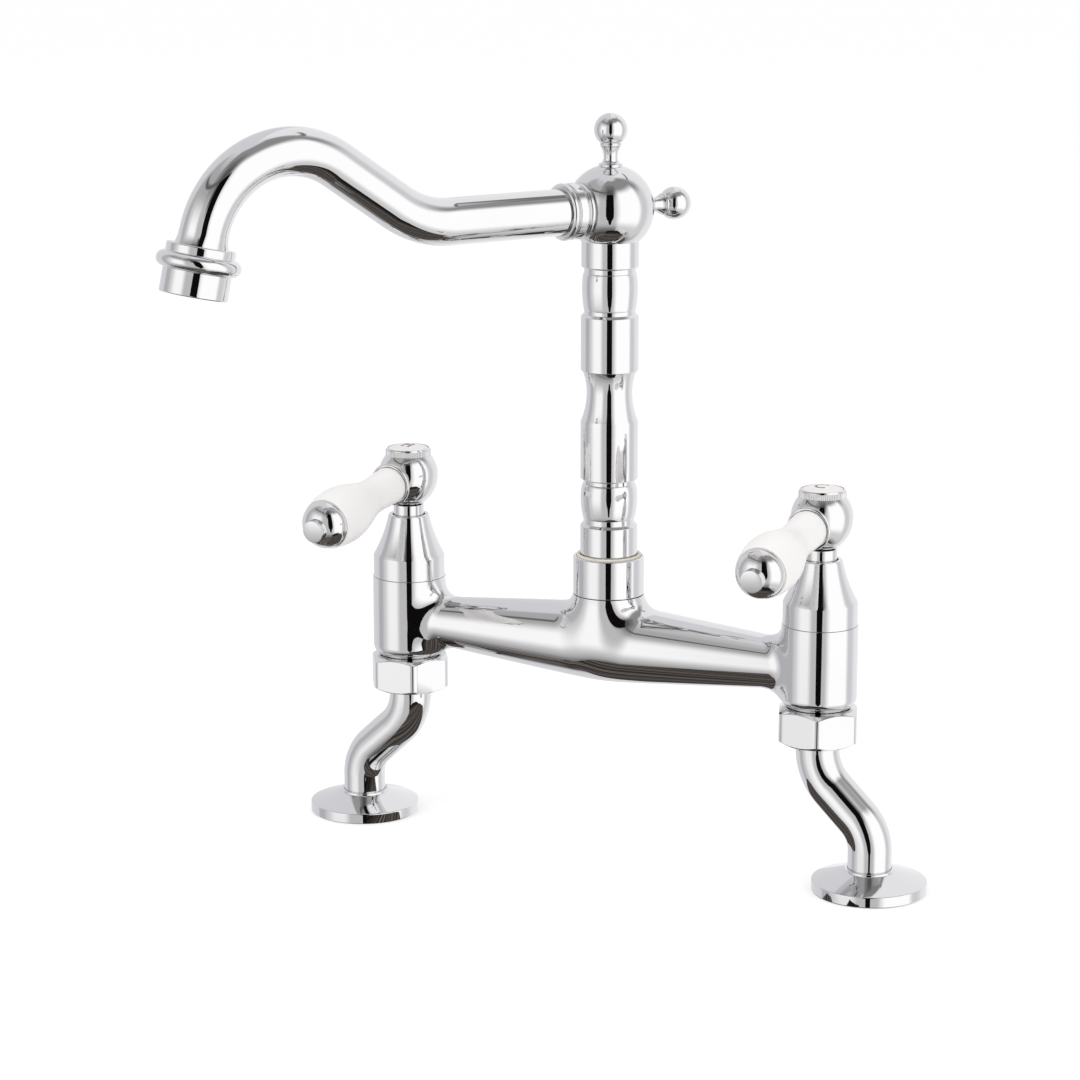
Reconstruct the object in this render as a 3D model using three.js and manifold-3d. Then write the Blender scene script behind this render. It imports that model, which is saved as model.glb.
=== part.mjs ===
// Bridge kitchen tap: two cranked legs carry a tapered bridge with a quarter-turn valve at each
// end; a turned column swivels on the middle of the bridge and carries a ball head and the spout.
// Millimetres. X runs along the bridge from the hot side to the cold side, -Y faces the person
// at the sink, Z is up, and Z = 0 is the worktop under the two foot flanges.
import * as THREE from 'three';
import { mergeVertices } from 'three/addons/utils/BufferGeometryUtils.js';
import Module from 'manifold-3d';

const wasm = await Module();
wasm.setup();

// ---------------------------------------------------------------- driving dimensions
// fits, shared by every joint
const SLIP = 0.3;            // radial room between a piece and the hole it sits in
const RUN = 0.15;            // end room beside a face that turns against another
const ROUND = 22;            // facets round a large turned piece
const ROUND_MID = 18;        // round a piece of a thumb's width
const ROUND_SMALL = 14;      // round a pin, washer or seal
const ROUND_HOLE = 10;       // round a drilled hole
const BEAD_SWEEP = 78;       // degrees from a bead's crown down to its root

// bridge casting
const VALVE_SPACING = 180;   // hot valve axis to cold valve axis
const BAR_Z = 85.8;          // height of the bar's axis above the worktop
const BAR_MID_R = 15.7;      // the bar is thickest under the column
const BAR_END_R = 9.9;       // and thinnest where it meets the valve bodies
const BAR_FLARE = 4.3;       // fillet between the bar and what stands across it
const WATERWAY_R = 5.2;
const BODY_R = 14.8;         // upright valve bodies at the ends of the bar
const BODY_BELOW_BAR = 15;    // the bodies' reach below and above the bar's axis
const BODY_ABOVE_BAR = 17.7;
const BODY_FOOT_R = 12.4;    // the bodies draw in above the nuts
const BODY_DRAW_H = 7;
const BODY_FOOT_STEP_R = 0.9; // how far below full size that draw starts, and how high
const BODY_FOOT_STEP_H = 2.2;
const TAIL_R = 11.8;         // threaded tail the union nut screws onto
const TAIL_LENGTH = 7.9;
const INLET_R = 6.5;
const CHAMBER_DEPTH = 22.5;  // valve chamber, bored from the bodies' tops
const CHAMBER_R = 9.5;
const BOSS_R = 14.05;        // round boss under the swivel collar
const BOSS_RISE = 20;        // from the bar's axis to the boss's top
const BOSS_FLARE_SWEEP = 82; // degrees of the fillet left between the boss and the bar
const SPIGOT_R = 12.2;       // threaded spigot inside the swivel collar
const SPIGOT_LENGTH = 7.2;
const SOCKET_R = 9.9;        // bore the column's foot turns in
const SOCKET_DEPTH = 26.8;   // bored from the boss's top

// cranked legs, union nuts and foot flanges
const LEG_R = 8.5;
const LEG_BORE_R = 6;
const LEG_OFFSET = 23.3;     // sideways step of the crank
const LEG_BEND_R = 11.5;
const LEG_BEND_ANGLE = 48;
const LEG_CRANK_Z = 33.8;    // height of the middle of the crank
const LEG_TURN = -4.8;       // each leg's turn about its own valve axis, from straight outward
const LEG_COLLAR_R = 11.3;
const LEG_COLLAR_T = 2.6;
const WASHER_T = 1.5;
const WASHER_BORE_R = 7;
const NUT_FLATS = 30;        // spanner size of the union nut
const HOT_NUT_CORNER = 4;    // where each nut's corner came to rest, from its leg's direction
const COLD_NUT_CORNER = 1;
const NUT_DROP = 14.2;       // from the bodies' bottoms to the nuts' bottoms
const NUT_LIP_T = 2;
const FLANGE_R = 22.4;
const FLANGE_RIM_H = 4.2;
const FLANGE_CONE_H = 8.2;
const FLANGE_STEP_R = 10.4;
const FLANGE_STEP_H = 1.2;
const FLANGE_WALL = 2.2;
const FLANGE_REST_W = 4;     // width of the flat ring that rests on the worktop

// valve inside: cartridge, seat and ceramic discs
const SEAT_WASHER_T = 3;
const DISC_R = 6.9;
const DISC_T = 3;
const DISC_PORT_R = 4.9;
const CARTRIDGE_WALL = 1.3;
const CARTRIDGE_COLLAR_R = 11.6;
const CARTRIDGE_COLLAR_T = 4;
const CARTRIDGE_NECK_R = 7.2;
const CARTRIDGE_RISE = 16.1; // its neck above the body
const WINDOW_W = 7;
const WINDOW_H = 5;
const SPINDLE_R = 4;
const SPINDLE_FOOT_T = 5;
const SPINDLE_RISE = 12.8;   // its splined head above the hub's bottom

// bonnet and the sleeve above it
const BONNET_R = 14.45;
const BONNET_BAND_H = 8.9;
const BONNET_H = 25.6;
const BONNET_TOP_R = 8.3;
const BONNET_WALL = 1.6;
const BONNET_HOLLOW = 1.7;   // how far the flank curves in from a straight cone
const SLEEVE_R = 6.15;
const SLEEVE_SHOWN_H = 4.3;

// lever hub with its marked cap
const HUB_R = 12;
const HUB_EGG_R = 13.6;      // half the ball's height, were it not cut off: it is longer below
const HUB_CUT_BELOW = 12.2;  // its flats, measured from its centre
const HUB_CUT_ABOVE = 7.9;
const HUB_SCREW_DEPTH = 4.5;
const HUB_BOSS_R = 6.2;
const HUB_BOSS_REACH = 12.1;
const SCREW_R = 2;
const SCREW_HEAD_R = 4.2;
const SCREW_HEAD_T = 2.4;
const SCREW_LENGTH = 11;
const CAP_RING_R = 9.2;
const CAP_RING_H = 2.4;      // its knurled edge, under a bevel
const CAP_RING_BEVEL_H = 0.7;
const CAP_RING_BORE_R = 8.2;
const KNURLS = 30;
const KNURL_DEPTH = 0.35;
const CAP_DISC_EDGE_H = 2.9;
const CAP_DISC_RISE = 1.2;

// lever: ferrule, ceramic grip, end cap, all threaded on one stud
const LEVER_DROOP = 7.4;     // the lever falls away from level by this angle
const LEVER_SPLAY = 1.5;     // both levers rest this far outward of straight ahead
const STUD_R = 3;
const STUD_START = 6.5;      // distances along the lever are from the hub's centre
const FERRULE_NECK_R = 6.6;
const FERRULE_R = 8.7;
const FERRULE_END = 15.4;
const FERRULE_RECESS = 1;
const GRIP_END_R = 7.5;
const GRIP_WAIST_R = 7.1;
const GRIP_WAIST_AT = 29;
const GRIP_BULB_R = 11.4;
const GRIP_BULB_AT = 54;
const GRIP_END = 64.4;
const GRIP_TIP_R = 10.2;
const ENDCAP_R = 9.7;
const ENDCAP_RIM = 0.6;      // straight rim before the dome starts
const ENDCAP_DOME = 7.3;
const TIP_R = 4.3;           // round button on the dome
const TIP_EDGE_AT = 74.1;
const TIP_CROWN = 1.3;

// swivel at the foot of the column
const COLLAR_H = 15.4;
const COLLAR_R = 14.05;
const COLLAR_LIP_T = 3.2;
const COLLAR_CHAMFER = 0.7;
const FRICTION_RING_R = 12.8;
const FRICTION_RING_PROUD = 0.8;
const FOOT_R = 9.6;
const FOOT_LENGTH = 13.8;    // below the boss's top
const FOOT_FLANGE_R = 12.05;
const FOOT_FLANGE_T = 2;
const COLUMN_BORE_R = 6.5;
const ORING_MINOR_R = 0.7;
const ORING_LOW_AT = 5.5;    // up from the foot's end
const ORING_SPACING = 8;

// turned column
const COLUMN_R = 11.3;
const COLUMN_RUNNING_R = 11.15;  // inside the collar and its ring
const GROOVE_R = 10.05;
const WAIST_R = 9.35;
const BULB_LOW_R = 11.2;
const BULB_HIGH_R = 10.9;
const BASE_BAND_H = 13.2;    // heights from the collar up, one above the other
const BASE_GROOVE_H = 2.2;
const BULB_LOW_H = 13.8;
const SHAFT_GROOVE_H = 1.8;
const SHAFT_BAND_H = 22.8;
const WAIST_CLOSING_H = 11.6;
const WAIST_OPENING_H = 8.8;
const UPPER_BAND_H = 22.2;
const UPPER_GROOVE_H = 1.6;
const BULB_HIGH_H = 14.6;
const TOP_GROOVE_H = 2.1;
const TOP_BAND_H = 10.4;
const COLUMN_PLUG_R = 7.9;
const COLUMN_PLUG_H = 3.4;

// ball head and its two finials
const HEAD_R = 17;
const HEAD_RISE = 12.3;      // its centre above the column's top
const HEAD_BORE_R = 8.8;
const FINIAL_SEAT = 16.4;    // distance of the finials' flat seats from the ball's centre
const FINIAL_BASE_R = 4.6;
const FINIAL_NECK_R = 2.75;
const FINIAL_NECK_AT = 19.3;
const FINIAL_SHOULDER_R = 3.4;
const FINIAL_BEAD_R = 4.2;
const FINIAL_BEAD_MINOR = 0.75;
const FINIAL_BALL_R = 6.4;
const FINIAL_BALL_AT = 30.3;
const FINIAL_STUD_R = 2.3;
const FINIAL_STUD_LENGTH = 4;

// spout, its socket on the head, and the nozzle
const SPOUT_TURN = 30.5;     // rest pose: the spout is swung this far to the hot side
const SPOUT_SOCKET_SEAT = 13;
const SOCKET_BEAD_R = 10.5;
const SOCKET_BARREL_R = 11;
const SOCKET_END = 23.4;
const SOCKET_SHELF = 14.6;   // inner step the spout tube butts against
const SPOUT_R = 8.95;
const SPOUT_WALL = 1.3;
const SPOUT_RUN = 76;        // level run measured from the column's axis
const SPOUT_LOW_BEND_R = 32;
const SPOUT_CLIMB_ANGLE = 33.5;
const SPOUT_CLIMB = 35;
const SPOUT_CREST_R = 34;
const SPOUT_END_TILT = 12.5; // the outlet leans this far away from the column
const SPOUT_DROP = 4.4;
const NOZZLE_FLARE_H = 3.2;
const NOZZLE_RING_R = 12.65;
const NOZZLE_RING_H = 3.2;
const NOZZLE_BEAD_R = 15.5;
const NOZZLE_BEAD_MINOR = 2.9;
const NOZZLE_R = 13.15;
const NOZZLE_LENGTH = 18.2;
const NOZZLE_GRIP = 5;       // how deep the tube enters the nozzle
const AERATOR_R = 10.9;
const AERATOR_T = 7.5;
const AERATOR_RECESS = 1.4;
const AERATOR_WASHER_T = 1.5;
const AERATOR_HOLE_R = 0.85;
const AERATOR_RINGS = 2;

// ---------------------------------------------------------------- materials
function finish(color, roughness, metalness) {
  return () => new THREE.MeshStandardMaterial({ color, roughness, metalness });
}
const chrome = finish(0xd9dade, 0.06, 1);
const brass = finish(0xb08d4e, 0.32, 1);
const ceramic = finish(0xf2efec, 0.14, 0);
const capWhite = finish(0xece6e1, 0.3, 0);
const cream = finish(0xe4dccb, 0.45, 0);
const rubber = finish(0x1d1d1f, 0.75, 0);
const fibre = finish(0x8a4a32, 0.85, 0);
const steel = finish(0xa9abb0, 0.28, 1);
const alumina = finish(0xf5f3ee, 0.2, 0);
const greyPlastic = finish(0xb9bbbd, 0.5, 0);

// ---------------------------------------------------------------- geometry helpers
function radians(degrees) {
  return degrees * Math.PI / 180;
}

// closed triangle mesh from any closed three.js geometry, facing outward
function tidy(source) {
  const bare = source.index ? source.toNonIndexed() : source.clone();
  for (const name of Object.keys(bare.attributes)) {
    if (name !== 'position') bare.deleteAttribute(name);
  }
  const merged = mergeVertices(bare, 1e-4);
  const kept = [];
  const index = merged.index.array;
  for (let i = 0; i < index.length; i += 3) {
    const [a, b, c] = [index[i], index[i + 1], index[i + 2]];
    if (a !== b && b !== c && a !== c) kept.push(a, b, c);
  }
  const p = merged.attributes.position;
  let volume = 0;
  const [va, vb, vc] = [new THREE.Vector3(), new THREE.Vector3(), new THREE.Vector3()];
  for (let i = 0; i < kept.length; i += 3) {
    va.fromBufferAttribute(p, kept[i]);
    vb.fromBufferAttribute(p, kept[i + 1]);
    vc.fromBufferAttribute(p, kept[i + 2]);
    volume += va.dot(vb.cross(vc));
  }
  if (volume < 0) kept.reverse();
  merged.setIndex(kept);
  return merged;
}

function toManifold(geometry) {
  const g = tidy(geometry);
  const mesh = new wasm.Mesh({
    numProp: 3,
    vertProperties: new Float32Array(g.attributes.position.array),
    triVerts: new Uint32Array(g.index.array),
  });
  mesh.merge();
  return new wasm.Manifold(mesh);
}

function fromManifold(solid) {
  const mesh = solid.getMesh();
  const g = new THREE.BufferGeometry();
  g.setAttribute('position', new THREE.BufferAttribute(new Float32Array(mesh.vertProperties), 3));
  g.setIndex(Array.from(mesh.triVerts));
  return tidy(g);
}

function cut(base, ...tools) {
  let solid = toManifold(base);
  for (const tool of tools) solid = solid.subtract(toManifold(tool));
  return fromManifold(solid);
}

function join(first, ...rest) {
  let solid = toManifold(first);
  for (const other of rest) solid = solid.add(toManifold(other));
  return fromManifold(solid);
}

// solid of revolution about Z through [radius, height] points
function turned(points, facets = ROUND) {
  const profile = points.map(([r, z]) => new THREE.Vector2(Math.max(r, 0), z));
  return tidy(new THREE.LatheGeometry(profile, facets).rotateX(Math.PI / 2));
}

// the same with a hole of one radius right through it
function turnedBored(outer, boreR, facets = ROUND) {
  const bottom = outer[0][1];
  const top = outer[outer.length - 1][1];
  return turned([[boreR, bottom], ...outer, [boreR, top], [boreR, bottom]], facets);
}

function rod(r, z0, z1, facets = ROUND) {
  return turned([[0, z0], [r, z0], [r, z1], [0, z1]], facets);
}

// points on an arc about (r, z), swept between two angles measured from the outward direction
function arc(r, z, radius, from, to, steps) {
  const points = [];
  for (let i = 0; i <= steps; i += 1) {
    const a = radians(from + (to - from) * i / steps);
    points.push([r + radius * Math.cos(a), z + radius * Math.sin(a)]);
  }
  return points;
}

// points of a curve between two ends that bows sideways by a given depth at its middle
function bowed([r0, z0], [r1, z1], depth, steps) {
  const points = [];
  const length = Math.hypot(r1 - r0, z1 - z0);
  for (let i = 0; i <= steps; i += 1) {
    const t = i / steps;
    const push = depth * 4 * t * (1 - t) / length;
    points.push([r0 + (r1 - r0) * t + (z1 - z0) * push, z0 + (z1 - z0) * t - (r1 - r0) * push]);
  }
  return points;
}

// round solid swept along a path of straight lines and arcs
function swept(path, radius, facets, steps) {
  const outline = new THREE.Shape();
  for (let i = 0; i < facets; i += 1) {
    const a = 2 * Math.PI * i / facets;
    const [x, y] = [radius * Math.cos(a), radius * Math.sin(a)];
    if (i === 0) outline.moveTo(x, y);
    else outline.lineTo(x, y);
  }
  outline.closePath();
  return tidy(new THREE.ExtrudeGeometry(outline, { steps, extrudePath: path, bevelEnabled: false }));
}

// path that keeps its steps for the bends: even spacing along straights and arcs
class BentPath extends THREE.Curve {
  constructor(pieces, start, heading) {
    super();
    this.stations = [];
    let [x, z] = start;
    let a = radians(heading);
    this.stations.push([x, z]);
    for (const piece of pieces) {
      if (piece.length) {
        x += piece.length * Math.cos(a);
        z += piece.length * Math.sin(a);
        this.stations.push([x, z]);
      } else {
        const turn = radians(piece.turn) / piece.steps;
        const chord = 2 * piece.radius * Math.sin(Math.abs(turn) / 2);
        for (let i = 0; i < piece.steps; i += 1) {
          x += chord * Math.cos(a + turn / 2);
          z += chord * Math.sin(a + turn / 2);
          a += turn;
          this.stations.push([x, z]);
        }
      }
    }
    this.end = [x, z];
    this.endHeading = a;
  }

  getPoint(t) {
    const last = this.stations.length - 1;
    const at = Math.min(Math.max(t, 0), 1) * last;
    const i = Math.min(Math.floor(at), last - 1);
    const [x0, z0] = this.stations[i];
    const [x1, z1] = this.stations[i + 1];
    return new THREE.Vector3(x0 + (x1 - x0) * (at - i), 0, z0 + (z1 - z0) * (at - i));
  }

  getPointAt(t) {
    return this.getPoint(t);
  }

  getTangent(t) {
    const last = this.stations.length - 1;
    const at = t * last;
    const i = Math.round(at);
    const before = this.stations[Math.max(i - 1, 0)];
    const here = this.stations[i];
    const after = this.stations[Math.min(i + 1, last)];
    const into = new THREE.Vector3(here[0] - before[0], 0, here[1] - before[1]);
    const out = new THREE.Vector3(after[0] - here[0], 0, after[1] - here[1]);
    return into.normalize().add(out.normalize()).normalize();
  }

  getTangentAt(t) {
    return this.getTangent(t);
  }
}

function piece(name, geometry, material) {
  const mesh = new THREE.Mesh(geometry, material());
  mesh.geometry.computeVertexNormals();
  mesh.name = name;
  return mesh;
}

function group(name, ...children) {
  const g = new THREE.Group();
  g.name = name;
  if (children.length > 0) g.add(...children);
  return g;
}

// ---------------------------------------------------------------- heights, from the bar up
const BODY_BOTTOM_Z = BAR_Z - BODY_BELOW_BAR;
const BODY_TOP_Z = BAR_Z + BODY_ABOVE_BAR;
const SEAT_Z = BODY_TOP_Z - CHAMBER_DEPTH;
const NUT_BOTTOM_Z = BODY_BOTTOM_Z - NUT_DROP;
const CARTRIDGE_TOP_Z = BODY_TOP_Z + CARTRIDGE_RISE;
const BONNET_SHOULDER_Z = BODY_TOP_Z + BONNET_BAND_H;
const BONNET_TOP_Z = BODY_TOP_Z + BONNET_H;
const HUB_BOTTOM_Z = BONNET_TOP_Z + SLEEVE_SHOWN_H;
const HUB_Z = HUB_BOTTOM_Z + HUB_CUT_BELOW;
const HUB_TOP_Z = HUB_Z + HUB_CUT_ABOVE;
const HUB_SCREW_FLOOR_Z = HUB_TOP_Z - HUB_SCREW_DEPTH;
const SPINDLE_TOP_Z = HUB_BOTTOM_Z + SPINDLE_RISE;
const BOSS_TOP_Z = BAR_Z + BOSS_RISE;
const SOCKET_FLOOR_Z = BOSS_TOP_Z - SOCKET_DEPTH;
const COLLAR_TOP_Z = BOSS_TOP_Z + COLLAR_H;
const FOOT_BOTTOM_Z = BOSS_TOP_Z - FOOT_LENGTH;
const ORING_LOW_Z = FOOT_BOTTOM_Z + ORING_LOW_AT;
const ORING_HIGH_Z = ORING_LOW_Z + ORING_SPACING;
const BASE_BAND_TOP_Z = COLLAR_TOP_Z + BASE_BAND_H;
const BULB_LOW_BOTTOM_Z = BASE_BAND_TOP_Z + BASE_GROOVE_H;
const BULB_LOW_TOP_Z = BULB_LOW_BOTTOM_Z + BULB_LOW_H;
const SHAFT_BAND_BOTTOM_Z = BULB_LOW_TOP_Z + SHAFT_GROOVE_H;
const SHAFT_BAND_TOP_Z = SHAFT_BAND_BOTTOM_Z + SHAFT_BAND_H;
const WAIST_Z = SHAFT_BAND_TOP_Z + WAIST_CLOSING_H;
const UPPER_BAND_BOTTOM_Z = WAIST_Z + WAIST_OPENING_H;
const UPPER_BAND_TOP_Z = UPPER_BAND_BOTTOM_Z + UPPER_BAND_H;
const BULB_HIGH_BOTTOM_Z = UPPER_BAND_TOP_Z + UPPER_GROOVE_H;
const BULB_HIGH_TOP_Z = BULB_HIGH_BOTTOM_Z + BULB_HIGH_H;
const TOP_BAND_BOTTOM_Z = BULB_HIGH_TOP_Z + TOP_GROOVE_H;
const COLUMN_TOP_Z = TOP_BAND_BOTTOM_Z + TOP_BAND_H;
const HEAD_Z = COLUMN_TOP_Z + HEAD_RISE;

// ---------------------------------------------------------------- bridge casting
const VALVE_X = VALVE_SPACING / 2;

// The bar is one turning about X: it tapers from the middle to both valve bodies, where its top
// and bottom flare into the upright walls while its sides stay slim.
function bar() {
  const wall = VALVE_X - BODY_R;
  const slope = (BAR_MID_R - BAR_END_R) / wall;
  const start = wall - BAR_FLARE;
  const fillet = arc(0, 0, BAR_FLARE, -90, 0, 4);
  const half = fillet.map(([x, r]) => [BAR_MID_R - slope * start + BAR_FLARE + r, start + x]);
  half.push([half[half.length - 1][0], VALVE_X - 6]);
  const mirrored = half.map(([r, x]) => [r, -x]).reverse();
  const g = turned([[0, 6 - VALVE_X], ...mirrored, [BAR_MID_R, 0], ...half, [0, VALVE_X - 6]]);
  const p = g.attributes.position;
  for (let i = 0; i < p.count; i += 1) {
    const slim = BAR_MID_R - slope * Math.abs(p.getZ(i));
    const r = Math.hypot(p.getX(i), p.getY(i));
    if (r > slim + 1e-6) p.setY(i, p.getY(i) * slim / r);
  }
  return g.rotateY(Math.PI / 2).translate(0, 0, BAR_Z);
}

// Boss under the collar: round above, and drawn out along the bar where it runs into it.
function centreBoss() {
  const flareTop = BOSS_TOP_Z - 0.8;
  const rows = arc(BOSS_R + BAR_FLARE, flareTop, BAR_FLARE, 180, 180 + BOSS_FLARE_SWEEP, 4);
  const g = turned([[0, BAR_Z], [BOSS_R + BAR_FLARE, BAR_Z], ...rows.reverse(), [BOSS_R, BOSS_TOP_Z],
    [0, BOSS_TOP_Z]]);
  const p = g.attributes.position;
  for (let i = 0; i < p.count; i += 1) {
    const r = Math.hypot(p.getX(i), p.getY(i));
    if (r > BOSS_R) p.setY(i, p.getY(i) * BOSS_R / r);
  }
  return g;
}

function bridgeBody() {
  const spigotTop = BOSS_TOP_Z + SPIGOT_LENGTH;
  const uprights = [];
  const hollows = [rod(SOCKET_R, SOCKET_FLOOR_Z, spigotTop + 1)];
  for (const x of [-VALVE_X, VALVE_X]) {
    uprights.push(turned([[0, BODY_BOTTOM_Z - TAIL_LENGTH], [TAIL_R, BODY_BOTTOM_Z - TAIL_LENGTH],
      [TAIL_R, BODY_BOTTOM_Z], [BODY_FOOT_R, BODY_BOTTOM_Z],
      [BODY_R - BODY_FOOT_STEP_R, BODY_BOTTOM_Z + BODY_FOOT_STEP_H], [BODY_R, BODY_BOTTOM_Z + BODY_DRAW_H],
      [BODY_R, BODY_TOP_Z - 0.3], [BODY_R - 0.3, BODY_TOP_Z], [0, BODY_TOP_Z]]).translate(x, 0, 0));
    hollows.push(rod(CHAMBER_R, SEAT_Z, BODY_TOP_Z + 1, ROUND_MID).translate(x, 0, 0));
    hollows.push(rod(INLET_R, BODY_BOTTOM_Z - TAIL_LENGTH - 1, SEAT_Z + 1, ROUND_SMALL).translate(x, 0, 0));
  }
  const waterway = rod(WATERWAY_R, -VALVE_X, VALVE_X, ROUND_HOLE)
    .rotateY(Math.PI / 2).translate(0, 0, BAR_Z);
  const spigot = rod(SPIGOT_R, BOSS_TOP_Z - 1, spigotTop);
  const outside = join(bar(), centreBoss(), spigot, ...uprights);
  return cut(outside, ...hollows, waterway);
}

// ---------------------------------------------------------------- legs and feet
const NUT_R = NUT_FLATS / Math.sqrt(3);
const LEG_TOP_Z = BODY_BOTTOM_Z - TAIL_LENGTH - WASHER_T;

// S-shaped leg: straight, cranked outward by two equal bends, straight again to the worktop
function leg() {
  const a = radians(LEG_BEND_ANGLE);
  const acrossBends = 2 * LEG_BEND_R * (1 - Math.cos(a));
  const slant = (LEG_OFFSET - acrossBends) / Math.sin(a);
  const height = 2 * LEG_BEND_R * Math.sin(a) + slant * Math.cos(a);
  const top = LEG_TOP_Z - LEG_CRANK_Z - height / 2;
  const foot = LEG_CRANK_Z - height / 2;
  const bend = (turn) => ({ turn, radius: LEG_BEND_R, steps: 5 });
  const line = (extra) => new BentPath([{ length: top + extra }, bend(LEG_BEND_ANGLE),
    { length: slant }, bend(-LEG_BEND_ANGLE), { length: foot + extra }],
  [0, LEG_TOP_Z + extra], -90);
  const count = line(0).stations.length - 1;
  const outer = swept(line(0), LEG_R, ROUND_MID, count);
  const bore = swept(line(1), LEG_BORE_R, ROUND_HOLE, count);
  const collar = rod(LEG_COLLAR_R, LEG_TOP_Z - LEG_COLLAR_T, LEG_TOP_Z, ROUND_MID);
  return cut(join(outer, collar), bore);
}

function footFlange() {
  const boreR = LEG_R + SLIP;
  const inner = FLANGE_R - FLANGE_REST_W;
  const slope = (FLANGE_CONE_H - FLANGE_RIM_H) / (FLANGE_R - FLANGE_STEP_R);
  const underCone = FLANGE_CONE_H - FLANGE_WALL;
  return turned([[inner, 0], [FLANGE_R - 0.4, 0], [FLANGE_R, 0.4], [FLANGE_R, FLANGE_RIM_H - 0.4],
    [FLANGE_R - 0.4, FLANGE_RIM_H], [FLANGE_STEP_R, FLANGE_CONE_H],
    [FLANGE_STEP_R - 0.1, FLANGE_CONE_H + FLANGE_STEP_H - 0.4],
    [FLANGE_STEP_R - 0.5, FLANGE_CONE_H + FLANGE_STEP_H], [boreR, FLANGE_CONE_H + FLANGE_STEP_H],
    [boreR, underCone], [FLANGE_STEP_R + 1, underCone - slope], [inner, FLANGE_RIM_H - FLANGE_WALL],
    [inner, 0]]);
}

// hexagon nut: a six-sided prism whose corners are turned off at both ends
function unionNut(corner) {
  const top = BODY_BOTTOM_Z - SLIP;
  const height = top - NUT_BOTTOM_Z;
  const prism = new THREE.CylinderGeometry(NUT_R, NUT_R, height, 6, 1, false, radians(corner + 90));
  prism.rotateX(Math.PI / 2);
  prism.translate(0, 0, (top + NUT_BOTTOM_Z) / 2);
  const flatR = NUT_FLATS / 2;
  const drop = (NUT_R - flatR) * 0.6;
  const turnedOff = turned([[0, NUT_BOTTOM_Z], [flatR - 0.3, NUT_BOTTOM_Z],
    [NUT_R + 0.1, NUT_BOTTOM_Z + drop],
    [NUT_R + 0.1, top - drop], [flatR - 0.3, top], [0, top]], 24);
  const hex = toManifold(prism).intersect(toManifold(turnedOff));
  const thread = rod(TAIL_R + SLIP, NUT_BOTTOM_Z + NUT_LIP_T, top + 1, ROUND_MID);
  const mouth = rod(LEG_R + SLIP, NUT_BOTTOM_Z - 1, top, ROUND_MID);
  return cut(fromManifold(hex), thread, mouth);
}

function supply(side, corner) {
  const nut = piece(`${side}_union_nut`, unionNut(corner), chrome);
  const washer = piece(`${side}_union_washer`,
    turnedBored([[LEG_COLLAR_R - 0.3, LEG_TOP_Z], [LEG_COLLAR_R - 0.3, LEG_TOP_Z + WASHER_T]],
      WASHER_BORE_R, ROUND_SMALL), fibre);
  const tube = piece(`${side}_leg`, leg(), chrome);
  const flange = piece(`${side}_foot_flange`, footFlange().translate(LEG_OFFSET, 0, 0), chrome);
  return group(`${side}_supply`, nut, washer, tube, flange);
}

// ---------------------------------------------------------------- valve inside
const CARTRIDGE_R = CHAMBER_R - SLIP;
const DISC_BORE_R = DISC_R + SLIP;
const FIXED_DISC_Z = SEAT_Z + SEAT_WASHER_T;
const TURNING_DISC_Z = FIXED_DISC_Z + DISC_T;
const FOOT_OF_SPINDLE_Z = TURNING_DISC_Z + DISC_T;
const CARTRIDGE_STEP_Z = FOOT_OF_SPINDLE_Z + SPINDLE_FOOT_T + RUN;
const SPINDLE_HOLE_R = SPINDLE_R + SLIP;

function cartridge() {
  const waist = DISC_BORE_R + CARTRIDGE_WALL;
  const collarTop = BODY_TOP_Z + CARTRIDGE_COLLAR_T;
  const shell = turned([[DISC_BORE_R, FIXED_DISC_Z], [waist, FIXED_DISC_Z], [waist, CARTRIDGE_STEP_Z],
    [CARTRIDGE_R, CARTRIDGE_STEP_Z + 1], [CARTRIDGE_R, BODY_TOP_Z], [CARTRIDGE_COLLAR_R, BODY_TOP_Z],
    [CARTRIDGE_COLLAR_R, collarTop], [CARTRIDGE_NECK_R, collarTop], [CARTRIDGE_NECK_R, CARTRIDGE_TOP_Z],
    [SPINDLE_HOLE_R, CARTRIDGE_TOP_Z], [SPINDLE_HOLE_R, CARTRIDGE_STEP_Z],
    [DISC_BORE_R, CARTRIDGE_STEP_Z], [DISC_BORE_R, FIXED_DISC_Z]], ROUND_SMALL);
  const window = new THREE.BoxGeometry(2 * CARTRIDGE_R + 4, WINDOW_W, WINDOW_H);
  window.translate(0, 0, TURNING_DISC_Z + WINDOW_H / 2);
  return cut(shell, window);
}

// ceramic disc with a half-round port on one side
function portedDisc(z) {
  const disc = new THREE.Shape();
  disc.absarc(0, 0, DISC_R, 0, 2 * Math.PI);
  const port = new THREE.Path();
  port.moveTo(1, -DISC_PORT_R + 1);
  port.absarc(1, 0, DISC_PORT_R - 1, -Math.PI / 2, Math.PI / 2);
  port.closePath();
  disc.holes.push(port);
  const g = new THREE.ExtrudeGeometry(disc, { depth: DISC_T, curveSegments: 8, bevelEnabled: false });
  return tidy(g.translate(0, 0, z));
}

function spindle() {
  const holeR = SCREW_R + SLIP;
  const holeFloor = HUB_SCREW_FLOOR_Z - SCREW_LENGTH - 0.6;
  const footR = DISC_R;
  const footTop = FOOT_OF_SPINDLE_Z + SPINDLE_FOOT_T;
  return turned([[0, FOOT_OF_SPINDLE_Z], [footR, FOOT_OF_SPINDLE_Z], [footR, footTop],
    [SPINDLE_R, footTop], [SPINDLE_R, SPINDLE_TOP_Z], [holeR, SPINDLE_TOP_Z], [holeR, holeFloor],
    [0, holeFloor]], ROUND_SMALL);
}

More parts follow.
